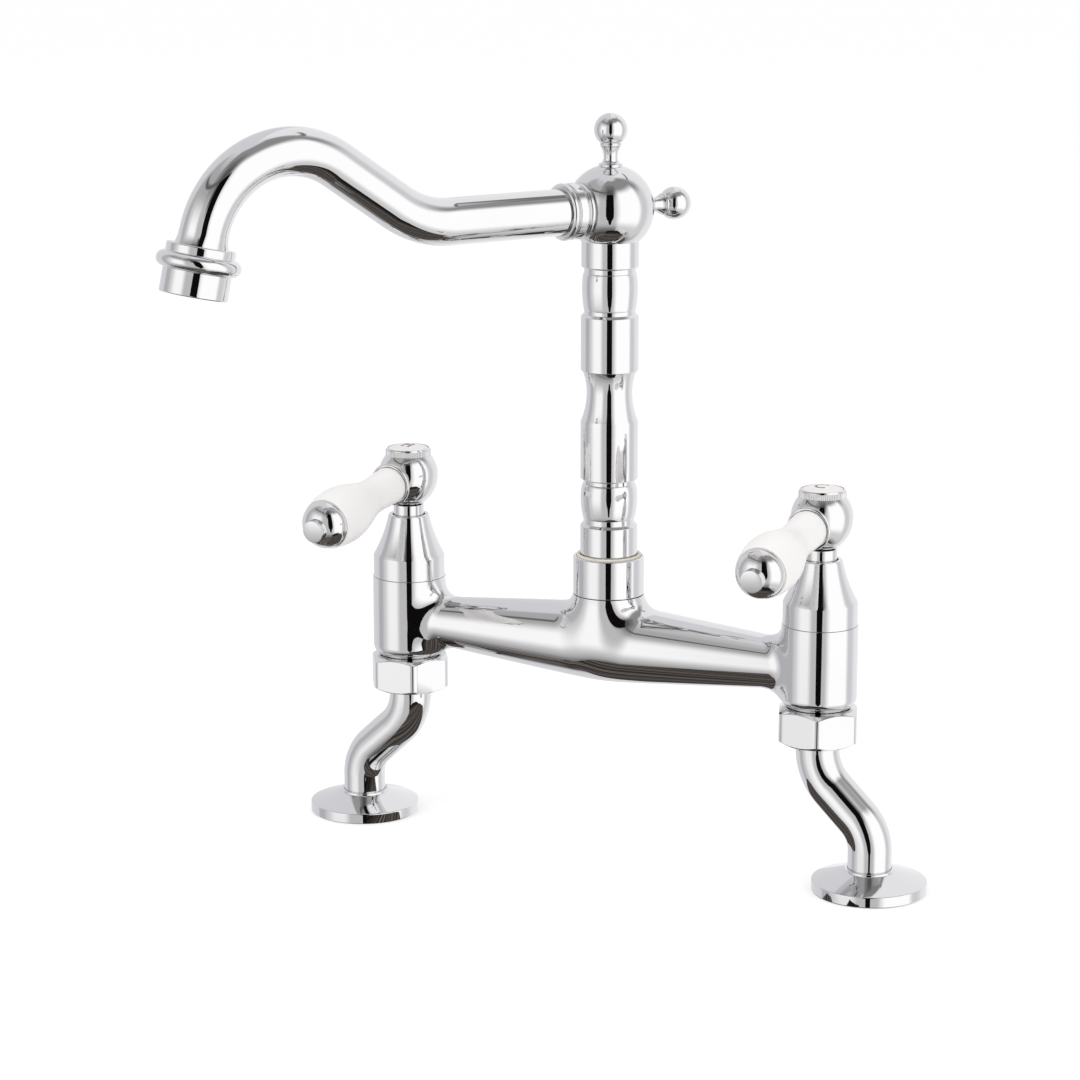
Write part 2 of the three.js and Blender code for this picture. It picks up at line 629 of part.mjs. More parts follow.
// bell-shaped cover with a hollow flank over the cartridge
function bonnet() {
  const flank = bowed([BONNET_R, BONNET_SHOULDER_Z], [BONNET_TOP_R, BONNET_TOP_Z - 0.5], -BONNET_HOLLOW, 5);
  const roomR = CARTRIDGE_COLLAR_R + SLIP;
  const roomTop = BODY_TOP_Z + CARTRIDGE_COLLAR_T + SLIP;
  const mouthR = SLEEVE_R + SLIP;
  const neckR = CARTRIDGE_NECK_R + SLIP;
  const neckTop = CARTRIDGE_TOP_Z + SLIP;
  return turned([[roomR, BODY_TOP_Z], [BONNET_R - 0.2, BODY_TOP_Z], [BONNET_R, BODY_TOP_Z + 0.2], ...flank,
    [BONNET_TOP_R - 0.5, BONNET_TOP_Z], [mouthR + 0.2, BONNET_TOP_Z], [mouthR, BONNET_TOP_Z - BONNET_WALL],
    [mouthR, neckTop], [neckR, neckTop], [neckR, roomTop], [roomR, roomTop], [roomR, BODY_TOP_Z]]);
}

function valve(side) {
  const seat = turnedBored([[CARTRIDGE_R, SEAT_Z], [CARTRIDGE_R, FIXED_DISC_Z]], DISC_PORT_R, ROUND_SMALL);
  const sleeve = turnedBored([[SLEEVE_R, CARTRIDGE_TOP_Z], [SLEEVE_R, HUB_BOTTOM_Z - RUN]],
    SPINDLE_HOLE_R, ROUND_MID);
  return group(`${side}_valve`,
    piece(`${side}_seat_washer`, seat, rubber),
    piece(`${side}_fixed_disc`, portedDisc(FIXED_DISC_Z), alumina),
    piece(`${side}_cartridge`, cartridge(), brass),
    piece(`${side}_sleeve`, sleeve, chrome),
    piece(`${side}_bonnet`, bonnet(), chrome));
}

// ---------------------------------------------------------------- lever handle
// direction the lever points in before it is splayed: toward the user and slightly down
function alongLever(geometry) {
  return geometry.rotateX(Math.PI / 2 + radians(LEVER_DROOP)).translate(0, 0, HUB_Z);
}

function hub() {
  const low = -Math.asin(HUB_CUT_BELOW / HUB_EGG_R) * 180 / Math.PI;
  const high = Math.asin(HUB_CUT_ABOVE / HUB_R) * 180 / Math.PI;
  const under = arc(0, 0, HUB_R, low, 0, 5).map(([r, z]) => [r, HUB_Z + z * HUB_EGG_R / HUB_R]);
  const over = arc(0, HUB_Z, HUB_R, 0, high, 3).slice(1);
  const ball = turned([[0, HUB_BOTTOM_Z], ...under, ...over, [0, HUB_TOP_Z]], ROUND_MID);
  const boss = alongLever(rod(HUB_BOSS_R, 0, HUB_BOSS_REACH, ROUND_SMALL));
  const splined = rod(SPINDLE_HOLE_R, HUB_BOTTOM_Z - 1, SPINDLE_TOP_Z + SLIP, ROUND_SMALL);
  const screwWay = rod(SCREW_R + SLIP, SPINDLE_TOP_Z, HUB_TOP_Z, ROUND_HOLE);
  const screwRoom = rod(SCREW_HEAD_R + SLIP, HUB_SCREW_FLOOR_Z, HUB_TOP_Z + 1, ROUND_SMALL);
  const studHole = alongLever(rod(STUD_R + SLIP, STUD_START - SLIP, HUB_BOSS_REACH + 1, ROUND_HOLE));
  return cut(join(ball, boss), splined, screwWay, screwRoom, studHole);
}

function hubScrew() {
  const top = HUB_SCREW_FLOOR_Z + SCREW_HEAD_T;
  const screw = turned([[0, HUB_SCREW_FLOOR_Z - SCREW_LENGTH], [SCREW_R, HUB_SCREW_FLOOR_Z - SCREW_LENGTH],
    [SCREW_R, HUB_SCREW_FLOOR_Z], [SCREW_HEAD_R, HUB_SCREW_FLOOR_Z], [SCREW_HEAD_R, top - 0.5],
    [SCREW_HEAD_R - 0.6, top], [0, top]], ROUND_HOLE);
  const slots = [0, Math.PI / 2].map((turn) => new THREE.BoxGeometry(5, 1, 2)
    .rotateZ(turn).translate(0, 0, top));
  return cut(screw, ...slots);
}

// ring with fine upright knurls round its edge
function capRing() {
  const outline = new THREE.Shape();
  for (let i = 0; i < 2 * KNURLS; i += 1) {
    const a = Math.PI * i / KNURLS;
    const r = i % 2 ? CAP_RING_R : CAP_RING_R - KNURL_DEPTH;
    if (i === 0) outline.moveTo(r, 0);
    else outline.lineTo(r * Math.cos(a), r * Math.sin(a));
  }
  outline.closePath();
  const hole = new THREE.Path();
  hole.absarc(0, 0, CAP_RING_BORE_R, 0, 2 * Math.PI);
  outline.holes.push(hole);
  const knurled = new THREE.ExtrudeGeometry(outline,
    { depth: CAP_RING_H, curveSegments: 12, bevelEnabled: false });
  const edge = CAP_RING_R - KNURL_DEPTH - 0.1;
  const top = CAP_RING_H + CAP_RING_BEVEL_H;
  const bevel = turned([[CAP_RING_BORE_R, 0.3], [edge, 0.3], [edge, CAP_RING_H + 0.1],
    [CAP_RING_BORE_R + 0.4, top], [CAP_RING_BORE_R, top], [CAP_RING_BORE_R, 0.3]], ROUND);
  return join(tidy(knurled), bevel).translate(0, 0, HUB_TOP_Z);
}

function capDisc() {
  const r = CAP_RING_BORE_R - SLIP;
  const edge = HUB_TOP_Z + CAP_DISC_EDGE_H;
  const dome = bowed([r, edge], [0, edge + CAP_DISC_RISE], CAP_DISC_RISE / 3, 3);
  return turned([[0, HUB_TOP_Z], [r, HUB_TOP_Z], ...dome], ROUND_MID);
}

function ferrule() {
  const rim = FERRULE_END - 2.2;
  const inner = GRIP_END_R + SLIP;
  const floor = FERRULE_END - FERRULE_RECESS;
  return turned([[STUD_R + SLIP, HUB_BOSS_REACH], [FERRULE_NECK_R, HUB_BOSS_REACH],
    [FERRULE_NECK_R, HUB_BOSS_REACH + 0.8], [FERRULE_R - 0.7, rim], [FERRULE_R, rim + 0.7],
    [FERRULE_R, FERRULE_END - 0.6], [FERRULE_R - 0.3, FERRULE_END], [inner, FERRULE_END],
    [inner, floor], [STUD_R + SLIP, floor], [STUD_R + SLIP, HUB_BOSS_REACH]], ROUND_MID);
}

// ceramic grip: a slim waist behind the ferrule that swells to a bulb and closes in again
function grip() {
  const start = FERRULE_END - FERRULE_RECESS;
  const outline = [[GRIP_END_R, start]];
  for (let i = 1; i <= 2; i += 1) {
    const t = i / 2;
    const ease = (1 - Math.cos(Math.PI * t)) / 2;
    outline.push([GRIP_END_R + (GRIP_WAIST_R - GRIP_END_R) * ease, start + (GRIP_WAIST_AT - start) * t]);
  }
  for (let i = 1; i <= 6; i += 1) {
    const t = i / 6;
    const ease = (1 - Math.cos(Math.PI * t)) / 2;
    outline.push([GRIP_WAIST_R + (GRIP_BULB_R - GRIP_WAIST_R) * ease,
      GRIP_WAIST_AT + (GRIP_BULB_AT - GRIP_WAIST_AT) * t]);
  }
  for (let i = 1; i <= 3; i += 1) {
    const t = i / 3;
    outline.push([GRIP_BULB_R + (GRIP_TIP_R - GRIP_BULB_R) * t * t,
      GRIP_BULB_AT + (GRIP_END - GRIP_BULB_AT) * t]);
  }
  return turnedBored(outline, STUD_R + SLIP, ROUND_MID);
}

// domed cap that ends in a low round button
function endCap() {
  const base = GRIP_END + ENDCAP_RIM;
  const dome = [];
  for (let i = 0; i <= 5; i += 1) {
    const a = i / 5 * Math.acos(TIP_R / ENDCAP_R);
    dome.push([ENDCAP_R * Math.cos(a), base + ENDCAP_DOME * Math.sin(a)]);
  }
  const button = bowed([TIP_R - 0.4, TIP_EDGE_AT], [0, TIP_EDGE_AT + TIP_CROWN], TIP_CROWN / 3, 3);
  const holeTop = GRIP_END + 3.4;
  return turned([[STUD_R + SLIP, GRIP_END], [ENDCAP_R - 0.3, GRIP_END], ...dome,
    [TIP_R, TIP_EDGE_AT - 0.4], ...button, [0, holeTop],
    [STUD_R + SLIP, holeTop], [STUD_R + SLIP, GRIP_END]], ROUND_MID);
}

function lever(side, splay) {
  const bar = group(`${side}_lever_parts`,
    piece(`${side}_spindle`, spindle(), brass),
    piece(`${side}_turning_disc`, portedDisc(TURNING_DISC_Z), alumina),
    piece(`${side}_hub`, hub(), chrome),
    piece(`${side}_hub_screw`, hubScrew(), steel),
    piece(`${side}_cap_ring`, capRing(), chrome),
    piece(`${side}_cap_disc`, capDisc(), capWhite),
    piece(`${side}_lever_stud`, alongLever(rod(STUD_R, STUD_START, GRIP_END + 3, ROUND_HOLE)), steel),
    piece(`${side}_ferrule`, alongLever(ferrule()), chrome),
    piece(`${side}_grip`, alongLever(grip()), ceramic),
    piece(`${side}_end_cap`, alongLever(endCap()), chrome));
  bar.rotation.z = radians(splay);
  return bar;
}

// ---------------------------------------------------------------- swivel and column
function swivelCollar() {
  const lipTop = COLLAR_TOP_Z - COLLAR_LIP_T + RUN;
  const flangeTop = BOSS_TOP_Z + SPIGOT_LENGTH + RUN + FOOT_FLANGE_T;
  const lipBottom = flangeTop + RUN;
  const ringR = FRICTION_RING_R + SLIP / 2;
  const lipR = COLUMN_RUNNING_R + SLIP;
  const threadR = SPIGOT_R + SLIP;
  return turned([[threadR, BOSS_TOP_Z + RUN], [COLLAR_R, BOSS_TOP_Z + RUN],
    [COLLAR_R, COLLAR_TOP_Z - COLLAR_CHAMFER], [COLLAR_R - COLLAR_CHAMFER, COLLAR_TOP_Z],
    [ringR, COLLAR_TOP_Z], [ringR, lipTop], [lipR, lipTop], [lipR, lipBottom], [threadR, lipBottom],
    [threadR, BOSS_TOP_Z + RUN]]);
}

function frictionRing() {
  const bottom = COLLAR_TOP_Z - COLLAR_LIP_T + RUN;
  const top = COLLAR_TOP_Z + FRICTION_RING_PROUD;
  return turnedBored([[FRICTION_RING_R, bottom], [FRICTION_RING_R, top - 0.4], [FRICTION_RING_R - 0.4, top]],
    COLUMN_RUNNING_R + SLIP);
}

// The column is one turning: foot with two seal grooves, flange, then bands, bulbs and a waist.
function column() {
  const flangeBottom = BOSS_TOP_Z + SPIGOT_LENGTH + RUN;
  const flangeTop = flangeBottom + FOOT_FLANGE_T;
  const runningTop = COLLAR_TOP_Z + FRICTION_RING_PROUD + SLIP;
  const sealR = FOOT_R - 2 * ORING_MINOR_R + 0.1;
  const half = ORING_MINOR_R + 0.35;
  const seal = (z) => [[FOOT_R, z - half], [sealR, z - half], [sealR, z + half], [FOOT_R, z + half]];
  const bulb = (r, z0, z1, drop) => {
    const rows = [];
    for (let i = 0; i <= 5; i += 1) {
      const t = i / 5;
      const rise = Math.sin(Math.PI * t ** drop);
      rows.push([GROOVE_R + (r - GROOVE_R) * Math.sqrt(Math.max(rise, 0)), z0 + (z1 - z0) * t]);
    }
    return rows;
  };
  const waist = [];
  for (let i = 1; i < 7; i += 1) {
    const z = SHAFT_BAND_TOP_Z + (UPPER_BAND_BOTTOM_Z - SHAFT_BAND_TOP_Z) * i / 7;
    const half0 = z < WAIST_Z ? WAIST_Z - SHAFT_BAND_TOP_Z : UPPER_BAND_BOTTOM_Z - WAIST_Z;
    const t = Math.abs(z - WAIST_Z) / half0;
    waist.push([WAIST_R + (COLUMN_R - WAIST_R) * t * t, z]);
  }
  const outline = [[FOOT_R - 0.6, FOOT_BOTTOM_Z], [FOOT_R, FOOT_BOTTOM_Z + 1], ...seal(ORING_LOW_Z),
    ...seal(ORING_HIGH_Z), [FOOT_R, flangeBottom], [FOOT_FLANGE_R, flangeBottom], [FOOT_FLANGE_R, flangeTop],
    [COLUMN_RUNNING_R, flangeTop], [COLUMN_RUNNING_R, runningTop], [COLUMN_R, runningTop + 0.2],
    [COLUMN_R, BASE_BAND_TOP_Z - 0.4], [COLUMN_R - 0.4, BASE_BAND_TOP_Z], [GROOVE_R, BASE_BAND_TOP_Z],
    ...bulb(BULB_LOW_R, BULB_LOW_BOTTOM_Z, BULB_LOW_TOP_Z, 0.85),
    [GROOVE_R, SHAFT_BAND_BOTTOM_Z], [COLUMN_R, SHAFT_BAND_BOTTOM_Z + 0.3], [COLUMN_R, SHAFT_BAND_TOP_Z],
    ...waist, [COLUMN_R, UPPER_BAND_BOTTOM_Z], [COLUMN_R, UPPER_BAND_TOP_Z - 0.3],
    [GROOVE_R, UPPER_BAND_TOP_Z], ...bulb(BULB_HIGH_R, BULB_HIGH_BOTTOM_Z, BULB_HIGH_TOP_Z, 1),
    [GROOVE_R, TOP_BAND_BOTTOM_Z], [COLUMN_R - 0.6, TOP_BAND_BOTTOM_Z + 0.1],
    [COLUMN_R - 0.1, TOP_BAND_BOTTOM_Z + 0.9], [COLUMN_R - 0.1, COLUMN_TOP_Z],
    [COLUMN_PLUG_R, COLUMN_TOP_Z], [COLUMN_PLUG_R, COLUMN_TOP_Z + COLUMN_PLUG_H]];
  return turnedBored(outline, COLUMN_BORE_R, ROUND);
}

function oRing(z) {
  const centre = FOOT_R - ORING_MINOR_R + 0.15;
  const section = arc(centre, z, ORING_MINOR_R, 0, 360, 6);
  section[section.length - 1] = section[0];
  return turned(section);
}

// ---------------------------------------------------------------- head, finials and spout
function finial() {
  const seat = FINIAL_SEAT;
  const notchR = FINIAL_BEAD_R * 0.935;
  const beadCentre = FINIAL_BEAD_R - FINIAL_BEAD_MINOR;
  const ballFrom = -Math.acos(notchR / FINIAL_BALL_R) * 180 / Math.PI;
  const beadTo = Math.acos((notchR - beadCentre) / FINIAL_BEAD_MINOR) * 180 / Math.PI;
  const ball = arc(0, FINIAL_BALL_AT, FINIAL_BALL_R, ballFrom, 90, 7);
  const beadAt = ball[0][1] - FINIAL_BEAD_MINOR * Math.sin(radians(beadTo));
  const shoulder = beadAt - FINIAL_BEAD_MINOR - 0.3;
  return turned([[0, seat - FINIAL_STUD_LENGTH], [FINIAL_STUD_R, seat - FINIAL_STUD_LENGTH],
    [FINIAL_STUD_R, seat], [FINIAL_BASE_R, seat], [FINIAL_BASE_R, seat + 0.8],
    ...bowed([FINIAL_BASE_R - 0.4, seat + 1], [FINIAL_NECK_R, FINIAL_NECK_AT], -0.2, 2),
    ...bowed([FINIAL_NECK_R, FINIAL_NECK_AT], [FINIAL_SHOULDER_R, shoulder], -0.2, 2).slice(1),
    ...arc(beadCentre, beadAt, FINIAL_BEAD_MINOR, -BEAD_SWEEP, beadTo, 3), ...ball.slice(1)], ROUND_SMALL);
}

// spout frame: local X runs out along the spout, local Z is up
function alongSpout(geometry) {
  return geometry.rotateY(Math.PI / 2).translate(0, 0, HEAD_Z);
}

function head() {
  const ball = turned(arc(0, HEAD_Z, HEAD_R, -90, 90, 12));
  const below = rod(HEAD_R, HEAD_Z - HEAD_R - 1, COLUMN_TOP_Z, ROUND_MID);
  const topSeat = rod(HEAD_R, HEAD_Z + FINIAL_SEAT, HEAD_Z + HEAD_R + 1, ROUND_HOLE);
  const rearSeat = alongSpout(rod(HEAD_R, -HEAD_R - 1, -FINIAL_SEAT, ROUND_HOLE));
  const spoutSeat = alongSpout(rod(HEAD_R, SPOUT_SOCKET_SEAT, HEAD_R + 1, ROUND_MID));
  const upBore = rod(HEAD_BORE_R, COLUMN_TOP_Z - 1, HEAD_Z, ROUND_MID);
  const sideBore = alongSpout(rod(HEAD_BORE_R, -3, HEAD_R, ROUND_MID));
  const studHoleR = FINIAL_STUD_R + SLIP;
  const studHoleEnd = FINIAL_SEAT - FINIAL_STUD_LENGTH - SLIP;
  const topHole = rod(studHoleR, HEAD_Z + studHoleEnd, HEAD_Z + HEAD_R, ROUND_HOLE);
  const rearHole = alongSpout(rod(studHoleR, -HEAD_R, -studHoleEnd, ROUND_HOLE));
  return cut(ball, below, topSeat, rearSeat, spoutSeat, upBore, sideBore, topHole, rearHole);
}

// socket on the ball: bead, groove, barrel, and a rounded bead round the tube
function spoutSocket() {
  const seat = SPOUT_SOCKET_SEAT;
  const endBead = (SOCKET_END - SOCKET_SHELF) * 0.16;
  const barrelEnd = SOCKET_END - 2 * endBead - 0.5;
  const tailR = HEAD_BORE_R - SLIP;
  const boreR = SPOUT_R + SLIP;
  return alongSpout(turned([[COLUMN_BORE_R, seat - 5], [tailR, seat - 5], [tailR, seat],
    [SOCKET_BEAD_R - 0.9, seat],
    ...arc(SOCKET_BEAD_R - 1.2, seat + 1.3, 1.2, -70, 70, 3), [SOCKET_BEAD_R - 1, seat + 2.6],
    [SOCKET_BARREL_R - 0.5, seat + 3.4], [SOCKET_BARREL_R, seat + 4.2], [SOCKET_BARREL_R - 0.2, barrelEnd],
    [SOCKET_BARREL_R - 1, barrelEnd + 0.3],
    ...arc(SOCKET_BARREL_R - endBead, SOCKET_END - endBead, endBead, -75, 90, 5),
    [boreR, SOCKET_END], [boreR, SOCKET_SHELF], [COLUMN_BORE_R, SOCKET_SHELF],
    [COLUMN_BORE_R, seat - 5]], ROUND_MID));
}

// centre line of the tube in the spout's own plane
const END_TURN = SPOUT_CLIMB_ANGLE + 90 - SPOUT_END_TILT;
function spoutLine(back, extra) {
  return new BentPath([
    { length: SPOUT_RUN - SOCKET_SHELF + back },
    { turn: SPOUT_CLIMB_ANGLE, radius: SPOUT_LOW_BEND_R, steps: 5 },
    { length: SPOUT_CLIMB },
    { turn: -END_TURN, radius: SPOUT_CREST_R, steps: 12 },
    { length: SPOUT_DROP + extra },
  ], [SOCKET_SHELF - back, HEAD_Z], 0);
}

function spoutTube() {
  const reach = NOZZLE_GRIP - SLIP;
  const outer = spoutLine(-SLIP, reach);
  const inner = spoutLine(1, reach + 1);
  const count = outer.stations.length - 1;
  return cut(swept(outer, SPOUT_R, ROUND_MID, count), swept(inner, SPOUT_R - SPOUT_WALL, ROUND_HOLE, count));
}

const NOZZLE_LINE = spoutLine(0, 0);

// puts a piece built downward from the nozzle's top ring at the end of the tube
function onNozzle(geometry) {
  const [x, z] = NOZZLE_LINE.end;
  return geometry.rotateY(radians(-SPOUT_END_TILT)).translate(x, 0, z);
}

const AERATOR_TOP = -(NOZZLE_LENGTH - AERATOR_RECESS - AERATOR_T);

function nozzle() {
  const beadAt = -(NOZZLE_RING_H + NOZZLE_BEAD_MINOR + 0.1);
  const beadCentre = NOZZLE_BEAD_R - NOZZLE_BEAD_MINOR;
  const roomR = AERATOR_R + SLIP;
  const shelf = AERATOR_TOP + AERATOR_WASHER_T;
  const tubeR = SPOUT_R + SLIP;
  const waterR = SPOUT_R - SPOUT_WALL;
  return onNozzle(turned([[roomR, -NOZZLE_LENGTH], [NOZZLE_R - 0.5, -NOZZLE_LENGTH],
    [NOZZLE_R, -NOZZLE_LENGTH + 0.5],
    ...arc(beadCentre, beadAt, NOZZLE_BEAD_MINOR, -BEAD_SWEEP, 90, 6), [NOZZLE_RING_R, -NOZZLE_RING_H],
    [NOZZLE_RING_R, -0.5], [NOZZLE_RING_R - 0.5, 0],
    ...bowed([NOZZLE_RING_R - 1.4, 0.1], [tubeR + 0.3, NOZZLE_FLARE_H], -0.5, 3),
    [tubeR, NOZZLE_FLARE_H], [tubeR, -NOZZLE_GRIP], [waterR, -NOZZLE_GRIP], [waterR, shelf],
    [roomR, shelf], [roomR, -NOZZLE_LENGTH]]));
}

// aerator insert: a cup with a drilled face that breaks the stream up
function aerator() {
  const face = 1.6;
  const outside = rod(AERATOR_R, AERATOR_TOP - AERATOR_T, AERATOR_TOP, ROUND_MID);
  const cup = rod(AERATOR_R - 1.4, AERATOR_TOP - AERATOR_T + face, AERATOR_TOP + 1, ROUND_SMALL);
  const holes = [rod(AERATOR_HOLE_R, AERATOR_TOP - AERATOR_T - 1, AERATOR_TOP, 5)];
  for (let ring = 1; ring <= AERATOR_RINGS; ring += 1) {
    const radius = ring * (AERATOR_R - 2.6) / AERATOR_RINGS;
    for (let i = 0; i < 6 * ring; i += 1) {
      const a = 2 * Math.PI * i / (6 * ring);
      holes.push(rod(AERATOR_HOLE_R, AERATOR_TOP - AERATOR_T - 1, AERATOR_TOP, 5)
        .translate(radius * Math.cos(a), radius * Math.sin(a), 0));
    }
  }
  return onNozzle(cut(outside, cup, ...holes));
}

// ---------------------------------------------------------------- assembly
function spoutAssembly() {
  const washer = turnedBored([[AERATOR_R, AERATOR_TOP], [AERATOR_R, AERATOR_TOP + AERATOR_WASHER_T]],
    SPOUT_R - SPOUT_WALL, ROUND_SMALL);
  const g = group('spout_assembly',
    piece('column', column(), chrome),
    piece('lower_seal', oRing(ORING_LOW_Z), rubber),
    piece('upper_seal', oRing(ORING_HIGH_Z), rubber),
    piece('head', head(), chrome),
    piece('top_finial', finial().translate(0, 0, HEAD_Z), chrome),
    piece('rear_finial', alongSpout(finial().rotateX(Math.PI)), chrome),
    piece('spout_socket', spoutSocket(), chrome),
    piece('spout_tube', spoutTube(), chrome),
    piece('nozzle', nozzle(), chrome),
    piece('aerator', aerator(), greyPlastic),
    piece('aerator_washer', onNozzle(washer), rubber));
  g.rotation.z = radians(-90 - SPOUT_TURN);
  return g;
}

const tap = group('bridge_tap');
tap.add(piece('bridge_body', bridgeBody(), chrome));
tap.add(piece('swivel_collar', swivelCollar(), chrome));
tap.add(piece('friction_ring', frictionRing(), cream));
for (const [side, x, outward] of [['hot', -VALVE_X, 180], ['cold', VALVE_X, 0]]) {
  const legs = supply(side, side === 'hot' ? HOT_NUT_CORNER : COLD_NUT_CORNER);
  legs.rotation.z = radians(outward + LEG_TURN);
  const handle = lever(side, side === 'hot' ? -LEVER_SPLAY : LEVER_SPLAY);
  const station = group(`${side}_side`, legs, valve(side), handle);
  station.position.x = x;
  tap.add(station);
}
tap.add(spoutAssembly());

export default tap;
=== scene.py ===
# %% [markdown]
# Bridge kitchen tap in polished chrome. Two cranked legs carry a tapered casting with a valve at
# each end; a turned column swivels on its middle and carries a ball and a curved spout.
# Every part below is measured in millimetres, as a fitter would, and put down in metres.
# The loaded frame says where each part belongs, so nothing has to be nudged into place.

import math

import bmesh
import bpy
import numpy as np
from mathutils import Matrix, Vector


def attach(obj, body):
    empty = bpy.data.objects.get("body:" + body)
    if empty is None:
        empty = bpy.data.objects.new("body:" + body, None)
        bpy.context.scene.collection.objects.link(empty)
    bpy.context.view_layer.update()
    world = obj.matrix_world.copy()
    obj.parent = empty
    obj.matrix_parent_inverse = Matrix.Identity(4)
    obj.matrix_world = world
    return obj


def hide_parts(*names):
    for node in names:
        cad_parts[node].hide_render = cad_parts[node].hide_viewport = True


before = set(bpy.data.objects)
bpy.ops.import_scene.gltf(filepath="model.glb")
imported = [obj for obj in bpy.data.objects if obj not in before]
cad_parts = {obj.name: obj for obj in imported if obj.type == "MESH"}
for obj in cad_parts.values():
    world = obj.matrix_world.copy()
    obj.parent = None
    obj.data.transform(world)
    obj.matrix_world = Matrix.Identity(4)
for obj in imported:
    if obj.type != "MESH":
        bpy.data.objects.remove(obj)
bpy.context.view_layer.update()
MM = 0.001

# %% [markdown]
# A long lens from slightly above and to the right of the tap keeps the column's sides almost
# parallel. The camera could be aimed with a constraint, but three plain axes are easier to read:
# where it stands, how far it is turned round the tap, and how far it looks down.

# %% Camera
CAMERA_AZIMUTH = math.radians(26.5)
CAMERA_ELEVATION = math.radians(12.95)
CAMERA_PLACE = Vector((0.5425, -1.1490, 0.4193))
to_camera = Vector((math.sin(CAMERA_AZIMUTH), -math.cos(CAMERA_AZIMUTH), 0))
to_right = Vector((math.cos(CAMERA_AZIMUTH), math.sin(CAMERA_AZIMUTH), 0))

camera_data = bpy.data.cameras.new("camera")
camera_data.lens = 110
camera_data.sensor_width = 36
camera = bpy.data.objects.new("camera", camera_data)
camera.location = CAMERA_PLACE
camera.rotation_euler = (math.pi / 2 - CAMERA_ELEVATION, 0, CAMERA_AZIMUTH)
bpy.context.scene.collection.objects.link(camera)
bpy.context.scene.camera = camera
print("camera at", tuple(CAMERA_PLACE))

# %% [markdown]
# Polished chrome has almost no look of its own: what it shows is the room. A product studio puts
# a broad soft box on each side of the camera, with a narrow dark gap between them, a pale
# backdrop behind and little light below. The bright boxes become the long highlights, the gap
# becomes the crisp dark line down every round part, and the dim underside rounds the tubes off.
# Lamps with those shapes would work too, but windows drawn in the world by direction give soft
# edges and stay noise-free, so the room is a list of windows, each with its own limits.

# %% One window of the studio, as a node group
def node(tree, kind, inputs=None, **settings):
    """Adds a node. Each named input gets a value, or a link if it is given another node's socket."""
    made = tree.nodes.new(kind)
    for key, value in settings.items():
        setattr(made, key, value)
    for key, value in (inputs or {}).items():
        if isinstance(value, bpy.types.NodeSocket):
            tree.links.new(value, made.inputs[key])
        else:
            made.inputs[key].default_value = value
    return made


def maths(tree, operation, *values):
    return node(tree, "ShaderNodeMath", dict(enumerate(values)), operation=operation).outputs[0]


def mapped(tree, value, limits, shape="SMOOTHSTEP"):
    """A value carried from one range to another; limits are From Min, From Max, To Min, To Max."""
    names = ("From Min", "From Max", "To Min", "To Max")
    return node(tree, "ShaderNodeMapRange", {"Value": value, **dict(zip(names, limits))},
                interpolation_type=shape).outputs["Result"]


def new_tree(name, kind, inputs, outputs):
    """A node group with named sockets, and the sockets that lead in and out of it."""
    tree = bpy.data.node_groups.new(name, kind)
    for direction, sockets in (("INPUT", inputs), ("OUTPUT", outputs)):
        for socket, holds in sockets.items():
            tree.interface.new_socket(socket, in_out=direction, socket_type="NodeSocket" + holds)
    return tree, node(tree, "NodeGroupInput").outputs, node(tree, "NodeGroupOutput").inputs


def build_window_group():
    names = ("Azimuth", "Elevation", "Left Dark", "Left Full", "Right Full", "Right Dark",
             "Bottom Dark", "Bottom Full", "Top Full", "Top Dark")
    tree, inlet, outlet = new_tree("studio_window", "ShaderNodeTree", dict.fromkeys(names, "Float"),
                                   {"Mask": "Float"})
    masks = [mapped(tree, inlet[angle], (inlet[side + " Dark"], inlet[side + " Full"]))
             for angle, side in (("Azimuth", "Left"), ("Azimuth", "Right"),
                                 ("Elevation", "Bottom"), ("Elevation", "Top"))]
    pairs = [maths(tree, "MULTIPLY", *masks[:2]), maths(tree, "MULTIPLY", *masks[2:])]
    tree.links.new(maths(tree, "MULTIPLY", *pairs), outlet["Mask"])
    return tree


window_group = build_window_group()
print("window group:", len(window_group.nodes), "nodes")

# %% [markdown]
# The windows are listed from the backdrop forward. Angles are in degrees: azimuth runs from the
# camera's side, positive to its right, and elevation from the horizon. Each window has a dark limit
# and a full limit on every side, and light eases between the two. The two soft boxes fade upwards
# and downwards. A painted sphere could hold all this too, but a list is quicker to read and change.

